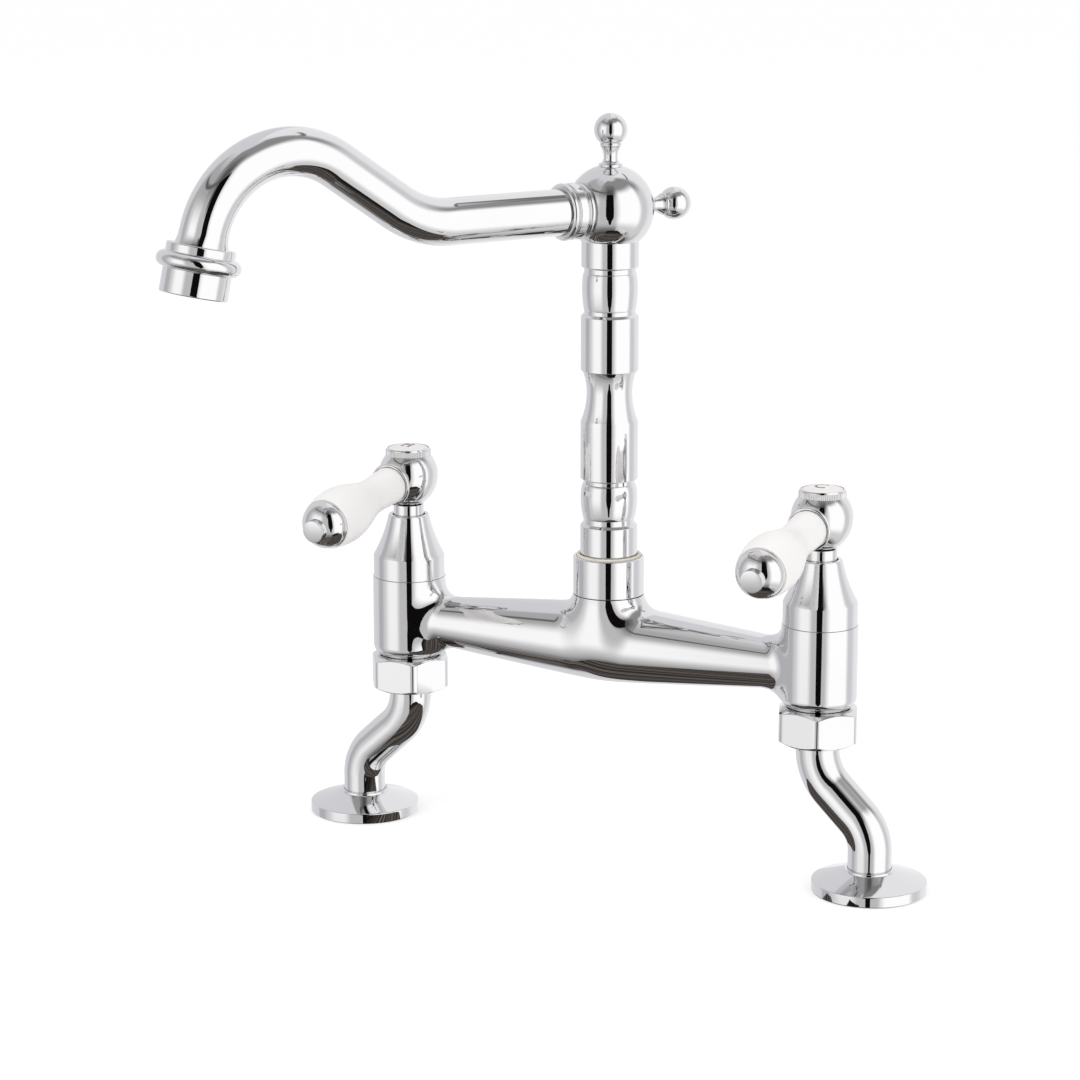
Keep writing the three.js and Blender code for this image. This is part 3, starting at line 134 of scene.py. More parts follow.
# %% The list of windows
EVERY = (-400, -399, 399, 400)
WINDOWS = [
    # name, azimuth limits, elevation limits, colour, strength
    ("backdrop_right", (104, 126, 399, 400), (-60, -40, 70, 90), (1.0, 0.99, 1.01), 1.0),
    ("side_seam_left", (-118, -108, -96, -84), (-70, -50, 60, 75), (1.0, 0.98, 1.02), 0.56),
    ("camera_side", (-98, -76, 86, 98), (-60, -40, 70, 80), (1.0, 0.99, 1.0), 0.64),
    ("side_seam_right", (92, 97, 102, 108), (-70, -50, 50, 60), (1.0, 0.98, 1.02), 0.78),
    ("ceiling_front", (-52, -36, 96, 124), (22, 46, 78, 86), (1.0, 0.98, 0.985), 0.33),
    ("ceiling_left", (-125, -95, -44, -36), (24, 42, 56, 68), (1.0, 0.98, 0.99), 0.50),
    ("ceiling_gap", (-34, -14, 10, 26), (34, 50, 62, 72), (1.0, 0.98, 0.985), 0.20),
    ("ceiling_seam_left", (-110, -90, -16, 0), (43, 45, 46.5, 50), (1.0, 1.0, 1.0), 0.15),
    ("ceiling_seam_right", (98, 116, 140, 150), (54, 56, 57, 60), (1.0, 1.0, 1.0), 0.22),
    ("below_front", (-150, -125, 104, 130), (-400, -399, -56, -31), (1.0, 0.93, 0.87), 0.10),
    ("right_low", (10, 26, 104, 124), (-72, -50, -28, -12), (1.0, 0.985, 0.99), 0.80),
    ("soft_box_left", (-92, -61, -43, -26), (-36, -8, 13, 42), (1.0, 0.995, 1.0), 1.24),
    ("soft_box_right", (8, 30, 78, 96), (-46, -24, 39, 58), (1.0, 0.995, 1.0), 1.32),
    ("flag_gap", (-17, -11, 4, 12), (16, 30, 50, 62), (1.0, 0.98, 1.0), 0.11),
    ("below", EVERY, (-400, -399, -74, -60), (1.0, 0.93, 0.87), 0.12),
]
BACKDROP = (0.80, 0.79, 0.82)
print("studio windows:", len(WINDOWS))

# %% [markdown]
# Each window is now laid over the ones before it by its own mask. Below the horizon the room is dark
# and cluttered, so a noise of the elevation alone crosses the "below" windows with thin paler
# streaks. Only mirrors and glass see the room: the camera sees white, and rough pieces a plain pale
# grey, so that their colours stay as written.

# %% The studio as the chrome sees it
STREAKS_PER_DEGREE = 0.45
PLAIN_GREY = (0.86, 0.86, 0.865, 1)
WHITE = (1, 1, 1, 1)
world = bpy.data.worlds.new("studio")
bpy.context.scene.world = world
world.use_nodes = True
tree = world.node_tree
tree.nodes.clear()
direction = node(tree, "ShaderNodeTexCoord").outputs["Generated"]


def streaks(tree, place, limits):
    """Uneven parallel streaks: a noise that changes along one value only."""
    noise = node(tree, "ShaderNodeTexNoise", {"W": place, "Scale": 1, "Detail": 2}, noise_dimensions="1D")
    return mapped(tree, noise.outputs["Fac"], limits)


def along(tree, place, axis):
    return node(tree, "ShaderNodeVectorMath", {0: place, 1: axis}, operation="DOT_PRODUCT").outputs["Value"]


def layered(tree, under, over, factor):
    return node(tree, "ShaderNodeMix", {0: factor, 6: under, 7: over}, data_type="RGBA").outputs[2]


seen_from = [along(tree, direction, axis) for axis in (to_right, to_camera, (0, 0, 1))]
azimuth = maths(tree, "DEGREES", maths(tree, "ARCTAN2", *seen_from[:2]))
elevation = maths(tree, "DEGREES", maths(tree, "ARCSINE", seen_from[2]))
streak_place = maths(tree, "MULTIPLY", elevation, STREAKS_PER_DEGREE)
clutter = streaks(tree, streak_place, (0.42, 0.68, 0.45, 2.6))
room = (*BACKDROP, 1)
for name, sides, heights, colour, strength in WINDOWS:
    limits = dict(enumerate((azimuth, elevation, *sides, *heights)))
    window = node(tree, "ShaderNodeGroup", limits, node_tree=window_group, label=name)
    light = tuple(c * strength for c in colour)
    if name.startswith("below"):
        light = node(tree, "ShaderNodeVectorMath", {0: light, "Scale": clutter}, operation="SCALE").outputs[0]
    else:
        light = (*light, 1)
    room = layered(tree, room, light, window.outputs["Mask"])

rays = node(tree, "ShaderNodeLightPath").outputs
reflected = maths(tree, "MAXIMUM", rays["Is Glossy Ray"], rays["Is Transmission Ray"])
plain = layered(tree, PLAIN_GREY, room, reflected)
seen = layered(tree, plain, WHITE, rays["Is Camera Ray"])
background = node(tree, "ShaderNodeBackground", {"Color": seen})
node(tree, "ShaderNodeOutputWorld", {"Surface": background.outputs[0]})
print("world nodes:", len(tree.nodes))

# %% [markdown]
# The floor is a plain pale board that holds the tap's soft shadow. A plain white material would
# show the shadow too strongly, so for the camera half of its brightness is its own, as on a sheet
# of lit white acrylic. The chrome doesn't see the board: the windows below the horizon stand for it.

# %% Floor
def bare_material(name):
    made = bpy.data.materials.new(name)
    made.use_nodes = True
    made.node_tree.nodes.clear()
    return made


FLOOR_HALF, FLOOR_Z, OWN_LIGHT, OWN_SHARE = 6.0, -0.0002, 1.15, 0.5
corners = [(x * FLOOR_HALF, y * FLOOR_HALF, 0) for x, y in ((-1, -1), (1, -1), (1, 1), (-1, 1))]
floor_mesh = bpy.data.meshes.new("floor")
floor_mesh.from_pydata(corners, [], [(0, 1, 2, 3)])
floor = bpy.data.objects.new("floor", floor_mesh)
floor.location.z = FLOOR_Z
floor.visible_glossy = False
bpy.context.scene.collection.objects.link(floor)
paper = bare_material("white_board")
tree = paper.node_tree
lit = node(tree, "ShaderNodeBsdfDiffuse", {"Color": (0.97, 0.97, 0.97, 1)})
glow = node(tree, "ShaderNodeEmission", {"Color": WHITE, "Strength": OWN_LIGHT})
share = maths(tree, "MULTIPLY", node(tree, "ShaderNodeLightPath").outputs["Is Camera Ray"], OWN_SHARE)
mixed = node(tree, "ShaderNodeMixShader", {0: share, 1: lit.outputs[0], 2: glow.outputs[0]})
node(tree, "ShaderNodeOutputMaterial", {"Surface": mixed.outputs[0]})
floor_mesh.materials.append(paper)
print("floor half width:", FLOOR_HALF)

# %% [markdown]
# Two dark cards are close enough to the tap for their reflections to shift from part to part, which
# no far window can do: a flag in the gap between the boxes, where the camera is, and a card a
# little below the feet. That low card is painted shadow: it stands in for the tap's own shade on the
# floor as the chrome sees it. It darkens the undersides of the legs, and what higher parts see of it
# is smaller and steeper. Both are thin meshes that only reflections can see.

# %% Dark cards
def black_card(name, rows):
    """A dark card that only reflections see, from pairs of (right, near, height) corners."""
    corners = [to_right * right + to_camera * near + Vector((0, 0, height))
               for row in rows for right, near, height in row]
    mesh = bpy.data.meshes.new(name)
    mesh.from_pydata(corners, [], [(k, k + 1, k + 3, k + 2) for k in range(0, len(corners) - 2, 2)])
    matt = bare_material(name)
    dark = node(matt.node_tree, "ShaderNodeEmission", {"Color": (1, 0.75, 0.75, 1), "Strength": 0.006})
    node(matt.node_tree, "ShaderNodeOutputMaterial", {"Surface": dark.outputs[0]})
    mesh.materials.append(matt)
    card = bpy.data.objects.new(name, mesh)
    card.visible_camera = card.visible_diffuse = card.visible_shadow = False
    bpy.context.scene.collection.objects.link(card)
    return dark


FLAG_X, FLAG_NEAR = -0.05, 1.165
flag_outline = ((-0.60, 0.06), (-0.29, 0.11), (-0.24, 0.16), (-0.05, 0.215), (1.30, 0.215))
black_card("camera_flag", [((FLAG_X - half, FLAG_NEAR, height), (FLAG_X + half, FLAG_NEAR, height))
                           for height, half in flag_outline])
# The painted shadow card's edge, as (degrees round from the camera's side, reach in metres). It is
# darkest near its edge; the middle is brown, with pale streaks that run across the view.
shade_card_edge = ((-180, 0.11), (-90, 0.13), (-75, 0.155), (-60, 0.165), (-40, 0.155), (-28, 0.175),
            (-16, 0.25), (0, 0.27), (25, 0.27), (36, 0.23), (45, 0.205), (60, 0.195), (90, 0.165),
            (120, 0.11), (180, 0.11))
SHADE_CARD_Z, SHADE_CARD_STREAKS_PER_METRE = -0.075, 95
shade_card_rows = []
for way, reach in shade_card_edge:
    way = math.radians(way)
    shade_card_rows.append(((0, 0, SHADE_CARD_Z), (reach * math.sin(way), reach * math.cos(way), SHADE_CARD_Z)))
# Painted shadow: this card stands in for the tap's own shade on the floor, as the chrome sees it.
shade_card_glow = black_card("painted_shade_card", shade_card_rows)
shade_card_glow.inputs["Color"].default_value = (1, 0.88, 0.80, 1)
tree = shade_card_glow.id_data
place = node(tree, "ShaderNodeTexCoord").outputs["Object"]
reach = node(tree, "ShaderNodeVectorMath", {0: place, 1: (0, 0, SHADE_CARD_Z)},
             operation="DISTANCE").outputs["Value"]
tones = (streaks(tree, along(tree, place, to_camera * SHADE_CARD_STREAKS_PER_METRE), (0.42, 0.72, 0.03, 0.24)),
         mapped(tree, reach, (0.17, 0.215, 1.0, 0.2)))
tree.links.new(maths(tree, "MULTIPLY", *tones), shade_card_glow.inputs["Strength"])

print("mat corners:", len(shade_card_edge))

# %% [markdown]
# Two area lamps shape the ceramic and the shadow. Round lamps would do for the shadow, but tall
# ones give the grips a soft upright sheen. The chrome doesn't need to see them, because the windows
# above already stand for their faces.

# %% Lamps
LAMP_AIM = Vector((0, 0, 0.15))
# name, degrees round, degrees up, distance, power
LAMPS = (("lamp_left", -52, 38, 1.5, 6.5), ("lamp_right", 48, 30, 1.6, 5.0))
for name, side, height, distance, power in LAMPS:
    turn = math.radians(side)
    flat = to_camera * math.cos(turn) + to_right * math.sin(turn)
    lamp_data = bpy.data.lights.new(name, "AREA")
    lamp_data.shape = "RECTANGLE"
    lamp_data.size = 1.0
    lamp_data.size_y = 1.4
    lamp_data.energy = power
    lamp = bpy.data.objects.new(name, lamp_data)
    rise = math.radians(height)
    lamp.location = LAMP_AIM + distance * (flat * math.cos(rise) + Vector((0, 0, math.sin(rise))))
    lamp.rotation_euler = (LAMP_AIM - lamp.location).to_track_quat("-Z", "Y").to_euler()
    lamp.visible_glossy = False
    bpy.context.scene.collection.objects.link(lamp)
print("lamps:", len(LAMPS))

# %% [markdown]
# Plating follows every ripple of the metal under it, so even a mirror finish bends reflections a
# little: castings more, parts turned on a lathe less. A noise texture read as height gives that
# wander, and a finer noise changes the roughness where cloths and fingers have been. The effect
# is one node group, because every plated part uses it with its own amounts.

# %% The wander of a polished surface, as a node group
def build_ripple_group():
    names = ("Ripple Size", "Ripple Depth", "Haze Low", "Haze High")
    tree, inlet, outlet = new_tree("polish_ripple", "ShaderNodeTree", dict.fromkeys(names, "Float"),
                                   {"Normal": "Vector", "Roughness": "Float"})
    place = node(tree, "ShaderNodeTexCoord").outputs["Object"]
    scale = maths(tree, "DIVIDE", 1, inlet["Ripple Size"])
    ripple = node(tree, "ShaderNodeTexNoise", {"Vector": place, "Scale": scale, "Detail": 1.5,
                                               "Roughness": 0.35})
    bump = node(tree, "ShaderNodeBump", {"Strength": 1, "Height": ripple.outputs["Fac"],
                                         "Distance": inlet["Ripple Depth"]})
    tree.links.new(bump.outputs["Normal"], outlet["Normal"])
    haze = node(tree, "ShaderNodeTexNoise", {"Vector": place, "Scale": 160, "Detail": 3})
    limits = (0.35, 0.7, inlet["Haze Low"], inlet["Haze High"])
    tree.links.new(mapped(tree, haze.outputs["Fac"], limits, "LINEAR"), outlet["Roughness"])
    return tree


ripple_group = build_ripple_group()


def surface(name, colour, metallic=0.0, ripple=(0.02, 0.0), haze=(0.3, 0.4), coat=0.0, spread=None):
    """A Principled surface with the ripple and haze of a real finish; spread varies its colour."""
    made = bpy.data.materials.new(name)
    made.use_nodes = True
    tree = made.node_tree
    shader = tree.nodes["Principled BSDF"].inputs
    for socket, value in (("Metallic", metallic), ("Coat Weight", coat), ("Coat Roughness", 0.03)):
        shader[socket].default_value = value
    group = node(tree, "ShaderNodeGroup", dict(enumerate((*ripple, *haze))), node_tree=ripple_group).outputs
    tree.links.new(group["Roughness"], shader["Roughness"])
    if ripple[1] > 0:
        tree.links.new(group["Normal"], shader["Normal"])
    place = node(tree, "ShaderNodeTexCoord").outputs["Object"]
    cloud = node(tree, "ShaderNodeTexNoise", {"Vector": place, "Scale": 45, "Detail": 2}).outputs["Fac"]
    other = (*(spread or tuple(0.97 * c for c in colour)), 1)
    tree.links.new(layered(tree, (*colour, 1), other, cloud), shader["Base Color"])
    made.diffuse_color = (*colour, 1)
    return made


print("ripple group:", len(ripple_group.nodes), "nodes")

# %% [markdown]
# The finishes, from the outside in: chrome in three grades of flatness, glazed white ceramic on
# the grips, the cream bearing ring, the caps, and the bare brass, rubber, steel and alumina
# that only show when the tap is taken apart.

# %% The finishes
CHROME = (0.76, 0.76, 0.765)
chrome_turned = surface("chrome_turned", CHROME, 1, (0.012, 0.0000015), (0.015, 0.04))
chrome_cast = surface("chrome_cast", CHROME, 1, (0.016, 0.000012), (0.02, 0.05))
chrome_tube = surface("chrome_tube", CHROME, 1, (0.022, 0.000010), (0.015, 0.04))
glazed_white = surface("glazed_white", (0.86, 0.84, 0.825), 0, (0.008, 0.000002), (0.36, 0.46), coat=0.12)
cap_white = surface("cap_white", (0.80, 0.765, 0.745), 0, (0.006, 0.000002), (0.28, 0.36), coat=0.2)
cap_ink = surface("cap_ink", (0.06, 0.06, 0.062), 0, haze=(0.35, 0.5))
bearing_cream = surface("bearing_cream", (0.72, 0.68, 0.60), 0, haze=(0.4, 0.55))
bare_brass = surface("bare_brass", (0.58, 0.40, 0.15), 1, (0.004, 0.000004), (0.25, 0.4),
                     spread=(0.5, 0.33, 0.12))
seal_rubber = surface("seal_rubber", (0.012, 0.012, 0.013), 0, haze=(0.6, 0.8))
red_fibre = surface("red_fibre", (0.25, 0.07, 0.03), 0, (0.002, 0.00002), (0.8, 0.9),
                    spread=(0.17, 0.04, 0.02))
stainless = surface("stainless", (0.42, 0.43, 0.45), 1, (0.003, 0.000003), (0.22, 0.34))
lapped_alumina = surface("lapped_alumina", (0.86, 0.84, 0.80), 0, haze=(0.12, 0.2))
grey_plastic = surface("grey_plastic", (0.46, 0.47, 0.48), 0, haze=(0.4, 0.5))
print("finishes:", len(bpy.data.materials))

# %% [markdown]
# Nearly every part of a tap is turned on a lathe, so one helper does most of the work. It takes a
# cutter's path of (radius, height) points, rounds the corners that name a fillet, and spins the
# result. A Screw modifier would spin a path too, but rounding the corners by rule keeps them exact.
# Edges on a real tap are never knife sharp: a fillet of a few tenths catches the light.

# %% Lathe
def cutter_path(points, closed=False):
    """Points (r, z) or (r, z, fillet) become a path with the named corners rounded."""
    rows = [(*p, 0) if len(p) == 2 else p for p in points]
    path = []
    count = len(rows)
    for i, (r, z, fillet) in enumerate(rows):
        ends = not closed and i in (0, count - 1)
        if fillet <= 0 or ends:
            path.append((r, z))
            continue
        here = np.array((r, z))
        before = np.array(rows[i - 1][:2]) - here
        after = np.array(rows[(i + 1) % count][:2]) - here
        a, b = before / np.linalg.norm(before), after / np.linalg.norm(after)
        half_angle = math.acos(max(-1, min(1, float(a @ b)))) / 2
        if half_angle > math.radians(88):
            path.append((r, z))
            continue
        room_left = 0.48 * min(np.linalg.norm(before), np.linalg.norm(after))
        reach = min(fillet / math.tan(half_angle), room_left)
        radius = reach * math.tan(half_angle)
        middle = here + (a + b) / np.linalg.norm(a + b) * radius / math.sin(half_angle)
        first, last = here + a * reach - middle, here + b * reach - middle
        turn = math.atan2(first[0] * last[1] - first[1] * last[0], float(first @ last))
        steps = max(2, int(abs(math.degrees(turn)) / 15))
        for k in range(steps + 1):
            c, s = math.cos(turn * k / steps), math.sin(turn * k / steps)
            path.append(tuple(middle + (first[0] * c - first[1] * s, first[0] * s + first[1] * c)))
    return path


def arc(r, z, radius, start, stop, steps=16):
    """Points on an arc about (r, z), between two angles in degrees from the outward direction."""
    angles = np.radians(np.linspace(start, stop, steps + 1))
    return [(r + radius * math.cos(t), z + radius * math.sin(t)) for t in angles]


def spun(path, closed=False, sides=96):
    """Vertices and faces of a path spun round Z; points on the axis become poles."""
    rings, verts, faces = [], [], []
    for r, z in path:
        if r < 1e-6:
            rings.append([len(verts)] * sides)
            verts.append((0, 0, z))
        else:
            rings.append(list(range(len(verts), len(verts) + sides)))
            verts += [(r * math.cos(2 * math.pi * k / sides), r * math.sin(2 * math.pi * k / sides), z)
                      for k in range(sides)]
    pairs = list(zip(rings, rings[1:])) + ([(rings[-1], rings[0])] if closed else [])
    for low, high in pairs:
        for k in range(sides):
            n = (k + 1) % sides
            corners = [low[k], low[n], high[n], high[k]]
            face = [v for i, v in enumerate(corners) if v != corners[i - 1]]
            if len(face) > 2:
                faces.append(face)
    return verts, faces


def mesh_of(name, *shells):
    """One mesh from (vertices, faces) shells in millimetres, each turned to face outward."""
    verts, faces = [], []
    for shell_verts, shell_faces in shells:
        p = np.array(shell_verts, float)
        volume = sum(float(np.dot(p[f[0]], np.cross(p[f[i]], p[f[i + 1]])))
                     for f in shell_faces for i in range(1, len(f) - 1))
        base = len(verts)
        verts += [tuple(v) for v in p * MM]
        faces += [[base + v for v in (f if volume > 0 else reversed(f))] for f in shell_faces]
    mesh = bpy.data.meshes.new(name)
    mesh.from_pydata(verts, [], faces)
    mesh.validate()
    return mesh


def lathed(name, path, closed=False, sides=96):
    """The mesh of a cutter's path; a closed path makes a ring, an open one runs from axis to axis."""
    return mesh_of(name, spun(cutter_path(path, closed), closed, sides))


print("points on a path with one filleted corner:", len(cutter_path([(0, 0), (5, 0, 1), (5, 5)])))

# %% [markdown]
# Smooth shading alone would let a small fillet bend the light far across its wide neighbours. A
# Weighted Normal modifier mends that, but it would have to be applied on every piece. Here each
# corner's normal is the average of the faces round it, weighted by their areas.

# %% Normals that keep wide faces flat
SHARP = 32.0


def values_of(items, key, width=1, kind=float):
    """One property of every item as a numpy array, a row for each item where it is a vector."""
    values = np.empty(len(items) * width, kind)
    items.foreach_get(key, values)
    return values.reshape(-1, width) if width > 1 else values


def weigh_normals(mesh, sharp=SHARP):
    """Each corner's normal is the area-weighted mean of the faces there within the sharp angle."""
    mesh.polygons.foreach_set("use_smooth", [True] * len(mesh.polygons))
    count = len(mesh.loops)
    vert = values_of(mesh.loops, "vertex_index", kind=int)
    normal = values_of(mesh.polygons, "normal", 3)
    area = values_of(mesh.polygons, "area")
    face = np.repeat(np.arange(len(mesh.polygons)), values_of(mesh.polygons, "loop_total", kind=int))
    order = np.argsort(vert, kind="stable")
    starts = np.searchsorted(vert[order], np.arange(len(mesh.vertices)))
    sizes = np.diff(np.append(starts, count))
    result = np.zeros((count, 3))
    limit = math.cos(math.radians(sharp))
    for step in range(int(sizes.max())):
        rank = np.arange(count) - starts[vert[order]]
        partner = starts[vert[order]] + (rank + step) % sizes[vert[order]]
        used = step < sizes[vert[order]]
        mine, other = face[order], face[order[partner]]
        near = used & ((normal[mine] * normal[other]).sum(1) > limit)
        result[order[near]] += normal[other[near]] * area[other[near], None]
    result /= np.maximum(np.linalg.norm(result, axis=1), 1e-20)[:, None]
    mesh.normals_split_custom_set(result.tolist())
    return mesh


print("faces that meet at more than", SHARP, "degrees keep their edge")

# %% [markdown]
# Every finished piece takes the same last steps: its mesh is moved to its place, shaded, given its
# finish and handed to the body that carries it. One helper does them all, so that no piece misses
# one. Most of a tap is turned and chromed, so that is what the helper assumes.

# %% Finishing a piece
def finish(name, mesh, body, nodes, place=Matrix(), material=chrome_turned,
           sharp=SHARP):
    """Puts a mesh in its place, shades it, and hands it to the body that carries it."""
    mesh.transform(place)
    if sharp:
        weigh_normals(mesh, sharp)
    mesh.materials.clear()
    mesh.materials.append(material)
    piece = bpy.data.objects.new(name, mesh)
    bpy.context.scene.collection.objects.link(piece)
    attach(piece, body)
    if nodes:
        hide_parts(*nodes)
    print(name, "on", body, "faces:", len(mesh.polygons))
    return piece


def shift(x=0.0, y=0.0, z=0.0):
    return Matrix.Translation((x * MM, y * MM, z * MM))


def turn(degrees, axis):
    return Matrix.Rotation(math.radians(degrees), 4, axis)


VALVE_X = 90.0
SIDES = {"hot": -1, "cold": 1}
print("sides:", SIDES)

# %% [markdown]
# The bridge is one brass casting: a tapered bar that flows into an upright valve body at each end
# and into a round boss under the column. Joining plain cylinders would leave creases where a
# caster has soft fillets. Here each form is a distance rule, the rules are blended where they
# come close, a voxel remesh gives an even skin, and every point of the skin is then moved onto
# the exact blended surface, so the mirror finish has nothing faceted to show.

# %% The casting's rule
BAR_Z, BAR_MID_R, BAR_END_R, BODY_R = 85.8, 15.7, 9.9, 14.8
BODY_FOOT_R, BODY_BOTTOM_Z, BODY_DRAW_H, BODY_TOP_Z = 12.4, 70.8, 4.4, 103.5
BOSS_R, BOSS_ROOT_Z, BOSS_TOP_Z = 14.05, 91.8, 105.8
SIDE_BLEND, TOP_BLEND, BOSS_BLEND, MIDDLE_EASE = 4.4, 9.0, 7.5, 9.0
wall = VALVE_X - BODY_R
slope = (BAR_MID_R - BAR_END_R) / (math.hypot(wall, MIDDLE_EASE) - MIDDLE_EASE)


def blend(a, b, width):
    near = np.maximum(width - np.abs(a - b), 0) / width
    return np.minimum(a, b) - near * near * width / 4


def casting(p):
    x, y, z = np.abs(p[:, 0]), p[:, 1], p[:, 2]
    eased = np.sqrt(x * x + MIDDLE_EASE ** 2) - MIDDLE_EASE
    from_axis = np.hypot(y, z - BAR_Z)
    bar = np.maximum(from_axis - (BAR_MID_R - slope * eased), x - VALVE_X + 2)
    width = SIDE_BLEND + (TOP_BLEND - SIDE_BLEND) * ((z - BAR_Z) / np.maximum(from_axis, 1)) ** 2
    drawn = np.clip(1 - (z - BODY_BOTTOM_Z) / BODY_DRAW_H, 0, 1.4) ** 2.2
    upright = np.hypot(x - VALVE_X, y) - (BODY_R - (BODY_R - BODY_FOOT_R) * drawn)
    below = np.minimum(z - BOSS_ROOT_Z, 0)
    boss = np.sqrt(x * x + y * y + below * below) - BOSS_R
    return blend(blend(bar, boss, BOSS_BLEND), upright, width)


def gradient(rule, p, step=0.02):
    parts = [rule(p + step * axis) - rule(p - step * axis) for axis in np.eye(3)]
    return np.stack(parts, 1) / (2 * step)


print("bar end distance:", casting(np.array([[50.0, 0, BAR_Z]])))

# %% [markdown]
# On the real casting this is one skin with no joins. Cylinders and a tapered bar stand in for it
# roughly, and a voxel remesh turns them into one even mesh. A boolean union would keep the creases.
# Each point then walks down the rule's gradient to the exact surface, and the ends are cut flat.

# %% The casting's skin
def voxel_skin(shells, size):
    """A fine even skin over overlapping closed shells given in millimetres, as a mesh."""
    rough = bpy.data.objects.new("rough", mesh_of("rough", *shells))
    bpy.context.scene.collection.objects.link(rough)
    remesh = rough.modifiers.new("skin", "REMESH")
    remesh.mode = "VOXEL"
    remesh.voxel_size = size * MM
    skin = bpy.data.meshes.new_from_object(rough.evaluated_get(bpy.context.evaluated_depsgraph_get()))
    bpy.data.objects.remove(rough)
    return skin


def rod(r, z0, z1, sides=48):
    return spun([(0, z0), (r, z0), (r, z1), (0, z1)], sides=sides)


def moved(shell, matrix):
    return [tuple(matrix @ Vector(v)) for v in shell[0]], shell[1]


MARGIN, END_BAND, VOXEL, WALKS, LONGEST_STEP = 3.0, 0.6, 0.85, 8, 1.0
bar_path = [(0, -VALVE_X), (BAR_END_R, -VALVE_X), (BAR_MID_R, 0), (BAR_END_R, VALVE_X), (0, VALVE_X)]
lying = Matrix.Translation((0, 0, BAR_Z)) @ turn(90, "Y")
rough_shells = [moved(spun(bar_path, sides=48), lying), rod(BOSS_R, BAR_Z, BOSS_TOP_Z + MARGIN)]
for sign in (-1, 1):
    upright = rod(BODY_R, BODY_BOTTOM_Z - MARGIN, BODY_TOP_Z + MARGIN)
    rough_shells.append(moved(upright, Matrix.Translation((sign * VALVE_X, 0, 0))))
skin = voxel_skin(rough_shells, VOXEL)

points = values_of(skin.vertices, "co", 3) / MM
height = points[:, 2]
flat_end = (height > BODY_TOP_Z + MARGIN - END_BAND) | (height < BODY_BOTTOM_Z - MARGIN + END_BAND)
for _ in range(WALKS):
    g = gradient(casting, points)
    move = -casting(points)[:, None] * g / np.maximum((g * g).sum(1), 1e-6)[:, None]
    length = np.linalg.norm(move, axis=1, keepdims=True)
    points += np.where(flat_end[:, None], 0, move * np.minimum(1, LONGEST_STEP / np.maximum(length, 1e-9)))
skin.vertices.foreach_set("co", (points * MM).ravel())

work = bmesh.new()
work.from_mesh(skin)
for height, up, at_valves in ((BODY_TOP_Z, 1, True), (BODY_BOTTOM_Z, -1, True), (BOSS_TOP_Z, 1, False)):
    chosen = [f for f in work.faces if (abs(f.calc_center_median().x) / MM > VALVE_X / 2) == at_valves]
    edges = dict.fromkeys(e for f in chosen for e in f.edges)
    corners = dict.fromkeys(v for f in chosen for v in f.verts)
    bmesh.ops.bisect_plane(work, geom=[*corners, *edges, *chosen], plane_co=(0, 0, height * MM),
                           plane_no=(0, 0, up), clear_outer=True)
bmesh.ops.holes_fill(work, edges=[e for e in work.edges if e.is_boundary], sides=0)
bmesh.ops.recalc_face_normals(work, faces=work.faces)
work.to_mesh(skin)
work.free()
print("casting:", len(skin.vertices), "points")

# %% [markdown]
# A mirror shows every error in a normal. The mesh alone would give normals that wander from face to
# face, but the rule knows its own slope everywhere, so each corner takes its normal from there.
# Only the flat cut ends keep the plain normals of their faces.

# %% Exact normals for the casting
SHARP_END = 30
weigh_normals(skin, SHARP_END)
corner_vert = values_of(skin.loops, "vertex_index", kind=int)
exact = gradient(casting, values_of(skin.vertices, "co", 3) / MM)
exact /= np.maximum(np.linalg.norm(exact, axis=1), 1e-9)[:, None]
corners_per_face = values_of(skin.polygons, "loop_total", kind=int)
face_normal = np.repeat(values_of(skin.polygons, "normal", 3), corners_per_face, axis=0)
agrees = (face_normal * exact[corner_vert]).sum(1) > math.cos(math.radians(SHARP_END))
skin.normals_split_custom_set(np.where(agrees[:, None], exact[corner_vert], face_normal).tolist())
finish("bridge_casting", skin, "fixed", ["bridge_body"], material=chrome_cast, sharp=None)
print("corners on the exact surface:", int(agrees.sum()), "of", len(agrees))

# %% [markdown]
# Under the swivel collar and under the nuts the casting ends in threaded stubs. They are hidden
# on the finished tap, and are turned here as their own closed rods. The collar and the cream ring
# that the column rests on are closed paths, which the lathe makes into open rings.

# %% Hidden stubs, swivel collar and its cream bearing ring
stubs = [rod(12.2, BOSS_TOP_Z - 0.5, 113.0)]
for sign in (-1, 1):
    stubs.append(moved(rod(11.8, 62.9, BODY_BOTTOM_Z + 0.5), Matrix.Translation((sign * VALVE_X, 0, 0))))
finish("casting_stubs", mesh_of("casting_stubs", *stubs), "fixed", [])

collar = [(12.5, 105.95), (14.05, 105.95, 0.35), (14.05, 121.2, 0.75), (12.95, 121.2, 0.15), (12.95, 118.15),
          (11.45, 118.15), (11.45, 115.4), (12.5, 115.4)]
finish("swivel_collar_ring", lathed("collar", collar, True), "fixed", ["swivel_collar"])
ring = [(11.45, 118.15), (12.8, 118.15), (12.8, 122.0, 0.45), (11.45, 122.0, 0.1)]
finish("bearing_ring", lathed("bearing_ring", ring, True), "fixed", ["friction_ring"],
       material=bearing_cream)

# %% [markdown]
# The column is the showpiece of the lathe: bands, two bulbs and a long waist between plain
# cylinders. All of it is one path. The bulbs follow the root of a sine, which starts steep out
# of the groove like a turned bead, and the waist is two parabolas that meet at its thinnest point.

# %% The turned column
COLUMN_R, GROOVE_R, WAIST_R, WAIST_TOP_R = 11.3, 10.05, 8.95, 10.7
WAIST_LOW_Z, WAIST_Z, WAIST_HIGH_Z = 175.0, 186.6, 195.4
SPOUT_SWING = 30.5


def bulb(r, z0, z1, lean=1.0, steps=26):
    t = (1 - np.cos(np.linspace(0, math.pi, steps + 1))) / 2
    rise = np.sqrt(np.maximum(np.sin(math.pi * t ** lean), 0))
    return [(GROOVE_R + (r - GROOVE_R) * k, z0 + (z1 - z0) * s) for k, s in zip(rise, t)]


